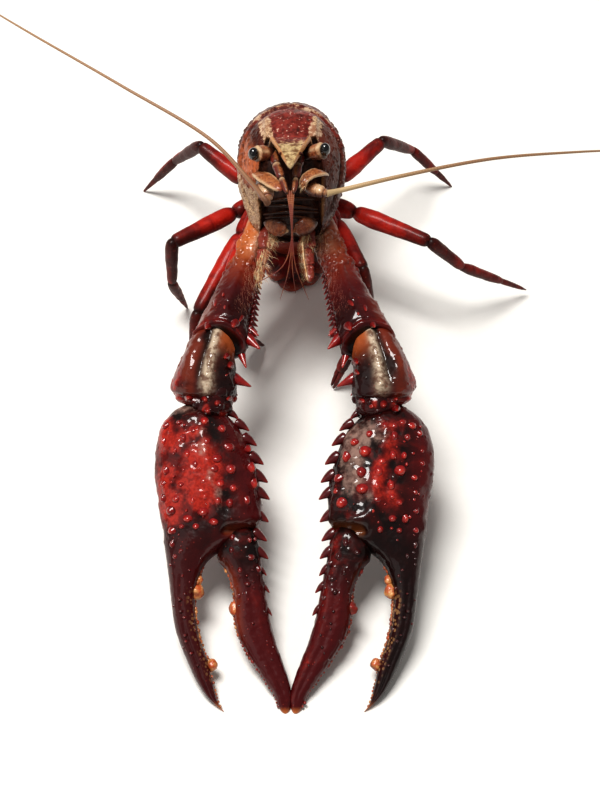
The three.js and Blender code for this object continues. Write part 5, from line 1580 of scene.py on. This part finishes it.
def arm_spines(side):
    """A row of thorns that grow towards the bend, the tables' knobs, and big thorns: three on the collar's inner
    side and four on the wrist joint's."""
    _, elbow, bend, wrist = arm_points(side)
    inner = np.array([-side, 0, 0])
    skins = []
    for t in np.linspace(0.36, 0.86, THORNS_IN_ROW):
        foot, tip = limb_top(side, t, -0.93, -1), limb_top(side, t + 0.03, -1.0, -0.4)
        small = thorn(foot, tip + inner * (0.9 + 1.6 * t**2), 0.5 + 0.6 * t)
        small["marks"]["deep"] = 0.85 * (1 - small["marks"]["tip"])
        skins.append(small)
    for t, across, radius in LONG_KNOBS[side]:
        foot, top = limb_top(side, t - 0.025, across, -1), limb_top(side, t + 0.03, across, radius)
        knob = thorn(foot, top, radius * 1.1, around=14, along=12)
        knob["marks"]["deep"] = 0.65 * (1 - knob["marks"]["tip"])
        skins.append(knob)
    at = lambda t, n: elbow + t * (bend - elbow) + inner * (5.4 + 2.4 * t + n)
    low = spot(0, 0, -2)
    skins += [thorn(at(0.94, -2), at(1.1, 3.4) + spot(0, 0, 1), 1.9, around=16, along=14),
              thorn(at(0.97, -3.6) + low, at(1.22, 0.4) + low, 1.7, around=16, along=14),
              thorn(at(0.86, -2), at(0.97, 2.2) + spot(0, 0, 1), 1.4, around=14, along=12)]
    on = lambda t, n, lift: bend + t * (wrist - bend) + inner * n + CLAW_TOP * lift
    skins += [thorn(on(0.5, 4, 0), on(0.68, 11.5, 1), 2, bend=0.4 * CLAW_TOP, around=16, along=14),
              thorn(on(0.78, 4.4, 0), on(1, 8, 0), 1.6), thorn(on(0.66, 5.5, 0), on(0.8, 8.4, 0), 1.0),
              thorn(on(0.9, 4, 1), on(1.36, 6.6, 1), 2.3, around=16, along=14)]
    for t, n, lift, radius in WRIST_KNOBS[side]:
        top = on(t + 0.06, n * 1.05, lift + 0.2 + 0.4 * radius)
        knob = thorn(on(t, n, lift - 1.9), top, radius * 1.2, around=14, along=12)
        knob["marks"]["deep"] = 0.7 * (1 - knob["marks"]["tip"])
        skins.append(knob)
    return skins


print("thorns in each row:", THORNS_IN_ROW)

# %% Hair of an arm, and the arms' pieces
HAIRS_ON_ARM = 360


def arm_hair(side):
    """Hair over the inner half of the long joint, combed towards the claw, golden near the body and ruddy
    beyond."""
    luck = np.random.default_rng(160 + side)
    count = HAIRS_ON_ARM
    t, across = luck.uniform(0.0, 0.72, count), luck.uniform(-0.92, -0.1, count)
    roots = np.array([limb_top(side, a, b, -0.2) for a, b in zip(t, across)])
    reach = np.array([0, -4.2, 0.3]) + luck.normal(0, 0.5, (count, 3)) + np.outer(across, [side * 0.9, 0, 0])
    length = (1.05 - t)[:, None] * luck.uniform(0.5, 1.0, (count, 1))
    made = bristles(roots, roots + reach * length, np.tile([0, 0, 0.45], (count, 1)), 0.026)
    ruddy = (0.7 if side < 0 else 0.9) * steps(t, 0.0, 0.25)
    made["marks"]["ruddy"] = np.repeat(ruddy, len(made["points"]) // count)
    return made


for side, word in ((-1, "left"), (1, "right")):
    piece(f"arm_hair_{word}", [arm_hair(side)], BRISTLE)
    piece(f"arm_{word}", arm_skins(side), CLAW)
    piece(f"arm_spines_{word}", arm_spines(side), KNOB)

# %% [markdown]
# ## Walking legs
# Eight legs, each of five joints. A joint narrows along its length and swells again at its far end, where
# the next one sits in it. One bent tube would be simpler, but a leg is known by its joints. The foremost
# pair ends in small pincers, the rest in a point.

# %% Walking legs
# Hip, knee, ankle and tip of each leg.
LEGS = {
    "leg_2_left": [on_body(-8.5, 24, -13.5), spot(-19.2, 34, 33), spot(-17, 35, 17), spot(-8.4, 43, 0.6)],
    "leg_3_left": [on_body(-9, 18, -13.5), spot(-26.2, 34.5, 26), spot(-27.5, 27, 13), spot(-27.5, 24, 0)],
    "leg_4_left": [on_body(-9, 12, -13.5), spot(-33.5, 53.5, 34), spot(-34.5, 52, 18), spot(-31.2, 57, 0)],
    "leg_5_left": [on_body(-8.5, 6, -13), spot(-27, 92, 33), spot(-36, 101, 17), spot(-47, 104, 0)],
    "leg_2_right": [on_body(8.5, 24, -13.5), spot(18, 36, 33), spot(17.6, 31, 17), spot(11.8, 27.5, 0.6)],
    "leg_3_right": [on_body(9, 18, -13.5), spot(20, 42, 36), spot(23, 33, 18), spot(24.5, 25, 0)],
    "leg_4_right": [on_body(9, 12, -13.5), spot(39.5, 55.5, 32), spot(49.5, 55.5, 21), spot(70.5, 62, 2.5)],
    "leg_5_right": [on_body(8.5, 6, -13), spot(27, 94, 33), spot(37.2, 104.5, 18), spot(50.7, 106, 0)],
}


def leg_darks(near, far):
    """Marks of one piece of a leg: dark joints at both ends, and a depth of colour that goes from near to far
    along it and is more on its back, and more on its underside as painted shade."""
    def marks(t, c, s):
        shade = 0.3 * steps(s, 0.3, -0.5) + 0.45 * steps(c, 0.35, 0.9)
        return {"joint": np.clip(steps(t, 0.12, 0) + steps(t, 0.9, 1), 0, 1),
                "deep": np.clip(near + (far - near) * steps(t, 0.3, 1) + shade, 0, 1)}
    return marks


def leg_skins(hip, knee, ankle, tip, pincer):
    """The skins of a leg through its joints, narrower from piece to piece, with one point or a pincer's two."""
    point = lambda t, c, s: {"tip": 0.8 * steps(t, 0.6, 1), "joint": 0.6 * steps(t, 0.25, 0),
                             "deep": 0.75 + 0 * t}
    rough = lambda t, c, s, p: 0.12 * cloud(p, 2.5, 80) + 0.05 * cloud(p, 0.8, 81)
    shape = {"around": 28, "along": 34, "relief": rough, "flat": UP}
    joint = shape | {"blunt": 10}
    mid, claw = hip + 0.32 * (knee - hip), ankle + 0.62 * (tip - ankle)
    last = 1.7 if pincer else 1.15
    skins = [
        limb([hip + 5 * DORSAL, hip, mid], 3, thick=2.8, marks=leg_darks(0.3, 0.2), **(shape | {"flat": DORSAL})),
        limb([mid - 0.1 * (mid - hip), knee], through([[0, 2.4], [0.3, 2.6], [0.85, 2.1], [1, 2.3]]),
             marks=leg_darks(0.0, 0.7), **joint),
        limb([knee - 0.08 * (ankle - knee), ankle], through([[0, 1.7], [0.25, 1.9], [0.9, 1.5], [1, 1.7]]),
             marks=leg_darks(0.8, 0.5), **joint),
        limb([ankle - 0.1 * (claw - ankle), claw], through([[0, 1.3], [0.3, 1.5], [1, last]]),
             marks=leg_darks(0.6, 0.6), **joint),
    ]
    reach = tip - claw
    apart = np.cross(reach, UP)
    apart *= (0.9 if pincer else 0) / np.linalg.norm(apart)
    wide = through([[0, 0.9 if pincer else 1.1], [1, 0.35]])
    for half in (1, -1) if pincer else (1,):
        ends = [claw - 0.2 * reach + apart * half, tip + apart * 0.6 * half]
        skins.append(limb(ends, wide, marks=point, **shape))
    return skins


for name, joints in LEGS.items():
    piece(name, leg_skins(*joints, pincer="_2_" in name), LEG)

# %% [markdown]
# ## Tail
# Six rings lap over each other round the bend, each flared at its back edge. The flesh inside joins them,
# and the fan of five blades lies flat on the table, its far edges thin. A single bent tube with grooves
# would be simpler, but the edge of each ring has to stand clear of the next one.

# %% Tail rings, flesh and fan
TAIL_TURN = 180 - CARAPACE_RISE
RINGS = 6
RING_SHRINK = 0.055  # each ring is smaller by this share of the first
RING_HALF_WIDTH, RING_ABOVE, RING_BELOW = 10.6, 8.0, 5.2
tail_hub = on_body(0, 0, -TAIL_RADIUS)


def tail_frame(angle):
    """The outward and onward directions and the middle of the tail, angle degrees round its bend."""
    turn = np.radians(CARAPACE_RISE + angle)
    out = spot(0, np.sin(turn), np.cos(turn))
    return out, spot(0, np.cos(turn), -np.sin(turn)), tail_hub + TAIL_RADIUS * out


def tail_ring(index):
    """An oval, deeper above than below, carried a sixth of the bend and a little more, and flared at its rim."""
    start, end = index / RINGS * TAIL_TURN - 4, (index + 1) / RINGS * TAIL_TURN + 3
    grow = 1 - RING_SHRINK * index

    def place(t, c, s):
        out, _, middle = tail_frame(start + (end - start) * t)
        flare = 0.94 + 0.1 * t + 0.025 * ridge(t, 0.93, 0.05) - 0.02 * ridge(t, 0.8, 0.05)
        half = RING_HALF_WIDTH * grow * flare
        deep = np.where(s > 0, RING_ABOVE, RING_BELOW) * grow * flare
        points = middle + spot(-half * c, 0, 0) + (deep * s)[..., None] * out
        lift = 0.2 * cloud(points, 3.0, 90) + 0.05 * cloud(points, 0.9, 91)
        return points + lift[..., None] * (spot(-c, 0, 0) + s[..., None] * out)

    return wrapped(120, 60, place, 12.0, lambda t, c, s: {"edge": ridge(t, 0.95, 0.06)})


def tail_flesh():
    """A plain oval carried round the whole bend, inside the rings."""
    def place(t, c, s):
        out, _, middle = tail_frame(-6 + (TAIL_TURN + 18) * t)
        return middle + spot(-7.6 * c, 0, 0) + (5 * s)[..., None] * out

    return wrapped(60, 60, place, 16.0, lambda t, c, s: {"edge": 0.8 + 0 * t})


# Blades of the fan: turn from the middle in degrees, length, half width.
FAN_BLADES = [[0, 17, 4.4], [22, 16, 4.2], [-22, 14, 4.2], [44, 14, 4.2], [-44, 12.5, 4.2]]


def tail_fan():
    """Five thin blades that fan out from the end of the bend, each with a rib down its middle and fine lines."""
    out, along, middle = (v[0] if v.ndim > 1 else v for v in tail_frame(TAIL_TURN))
    skins = []
    lines = lambda t, c: 0.05 * np.sin(c * 40) * steps(t, 0.6, 0.9)
    rib = lambda t, c, s, p: 0.25 * ridge(c, 0, 0.2) * steps(t, 0.9, 0.6) + lines(t, c)
    marks = lambda t, c, s: {"edge": steps(t, 0.8, 1)}
    for turn, length, half in FAN_BLADES:
        heading = along * np.cos(np.radians(turn)) + spot(np.sin(np.radians(turn)), 0, 0)
        root = middle + out * (4.4 - abs(turn) * 0.02) - along
        wide = through([[0, 2.2], [0.5, half], [0.85, half * 0.95], [1, half * 0.6]])
        skins.append(limb([root, root + heading * length], wide, thick=1.3, flat=out, around=90, along=70,
                          relief=rib, marks=marks))
    return skins


piece("tail", [*[tail_ring(index) for index in range(RINGS)], tail_flesh(), *tail_fan()], TAIL)


# %% [markdown]
# ## Floor, light and camera
# A pale floor, as in a studio. One small softbox from the upper left gives the wet shell its tight white
# highlights, and a wide dim one with the pale surroundings fills the shadows. A single wide light would
# be simpler, but it spreads each highlight into a grey veil. The camera looks down on the back and face.

# %% Floor
def floor_finish():
    """Nearly white, a little uneven."""
    f = Finish("floor_paper")
    fine = f.noise(3.0, 3.0)
    return f.done(f.mix(fine, paint(248, 246, 241), paint(252, 250, 246)), 0.75, f.bump(fine, 0.05))


FLOOR = 3.0  # half its side, in metres
floor_mesh = bpy.data.meshes.new("floor")
floor_corners = [(-FLOOR, -FLOOR, 0), (FLOOR, -FLOOR, 0), (FLOOR, FLOOR, 0), (-FLOOR, FLOOR, 0)]
floor_mesh.from_pydata(floor_corners, [], [(0, 1, 2, 3)])
floor = bpy.data.objects.new("floor", floor_mesh)
floor_mesh.materials.append(floor_finish())
bpy.context.scene.collection.objects.link(floor)

# %% Lights
SUBJECT = (0, -0.02, 0.03)
SURROUNDINGS = {"Color": (1, 0.985, 0.965, 1), "Strength": 0.22}


def softbox(name, place, size, watts, colour):
    """A rectangular area light of that width and depth at place, turned to face the subject, all in metres."""
    light = bpy.data.lights.new(name, "AREA")
    light.shape = "RECTANGLE"
    light.size, light.size_y, light.energy, light.color = *size, watts, colour
    made = bpy.data.objects.new(name, light)
    made.location = place
    towards = np.array(SUBJECT, float) - np.array(place, float)
    made.rotation_euler = Vector(towards).to_track_quat("-Z", "Y").to_euler()
    bpy.context.scene.collection.objects.link(made)
    print(f"{name} light: {watts} W, {size[0]} by {size[1]} m")


softbox("key", (-0.17, 0.07, 0.8), (0.26, 0.36), 6.1, (1.0, 0.985, 0.96))
softbox("left", (-0.75, -0.45, 0.55), (0.8, 0.8), 0.9, (1.0, 0.98, 0.96))
world = bpy.data.worlds.new("studio")
world.use_nodes = True
for name, value in SURROUNDINGS.items():
    world.node_tree.nodes["Background"].inputs[name].default_value = value
bpy.context.scene.world = world

# %% Camera
# The angle is in degrees; distance, aim and lens are in millimetres.
CAMERA_ELEVATION = 55.0
CAMERA_DISTANCE = 420.0
AIM = np.array([2.5, 0.0, 33.5])
LENS, SENSOR_WIDTH, FARTHEST = 72.1, 36.0, 20.0  # the last in metres
camera_data = bpy.data.cameras.new("camera")
camera_data.lens, camera_data.sensor_width, camera_data.clip_end = LENS, SENSOR_WIDTH, FARTHEST
camera = bpy.data.objects.new("camera", camera_data)
tip_up = np.radians(CAMERA_ELEVATION)
away = np.array([0.0, -np.cos(tip_up), np.sin(tip_up)])
camera.location = ((AIM + CAMERA_DISTANCE * away - ORIGIN) * MM).tolist()
camera.rotation_euler = (np.pi / 2 - tip_up, 0, 0)
bpy.context.scene.collection.objects.link(camera)
bpy.context.scene.camera = camera
bpy.context.scene.view_settings.view_transform = "Standard"
bpy.context.scene.view_settings.look = "Medium High Contrast"
print("camera at", np.round(camera.location, 3), "m")
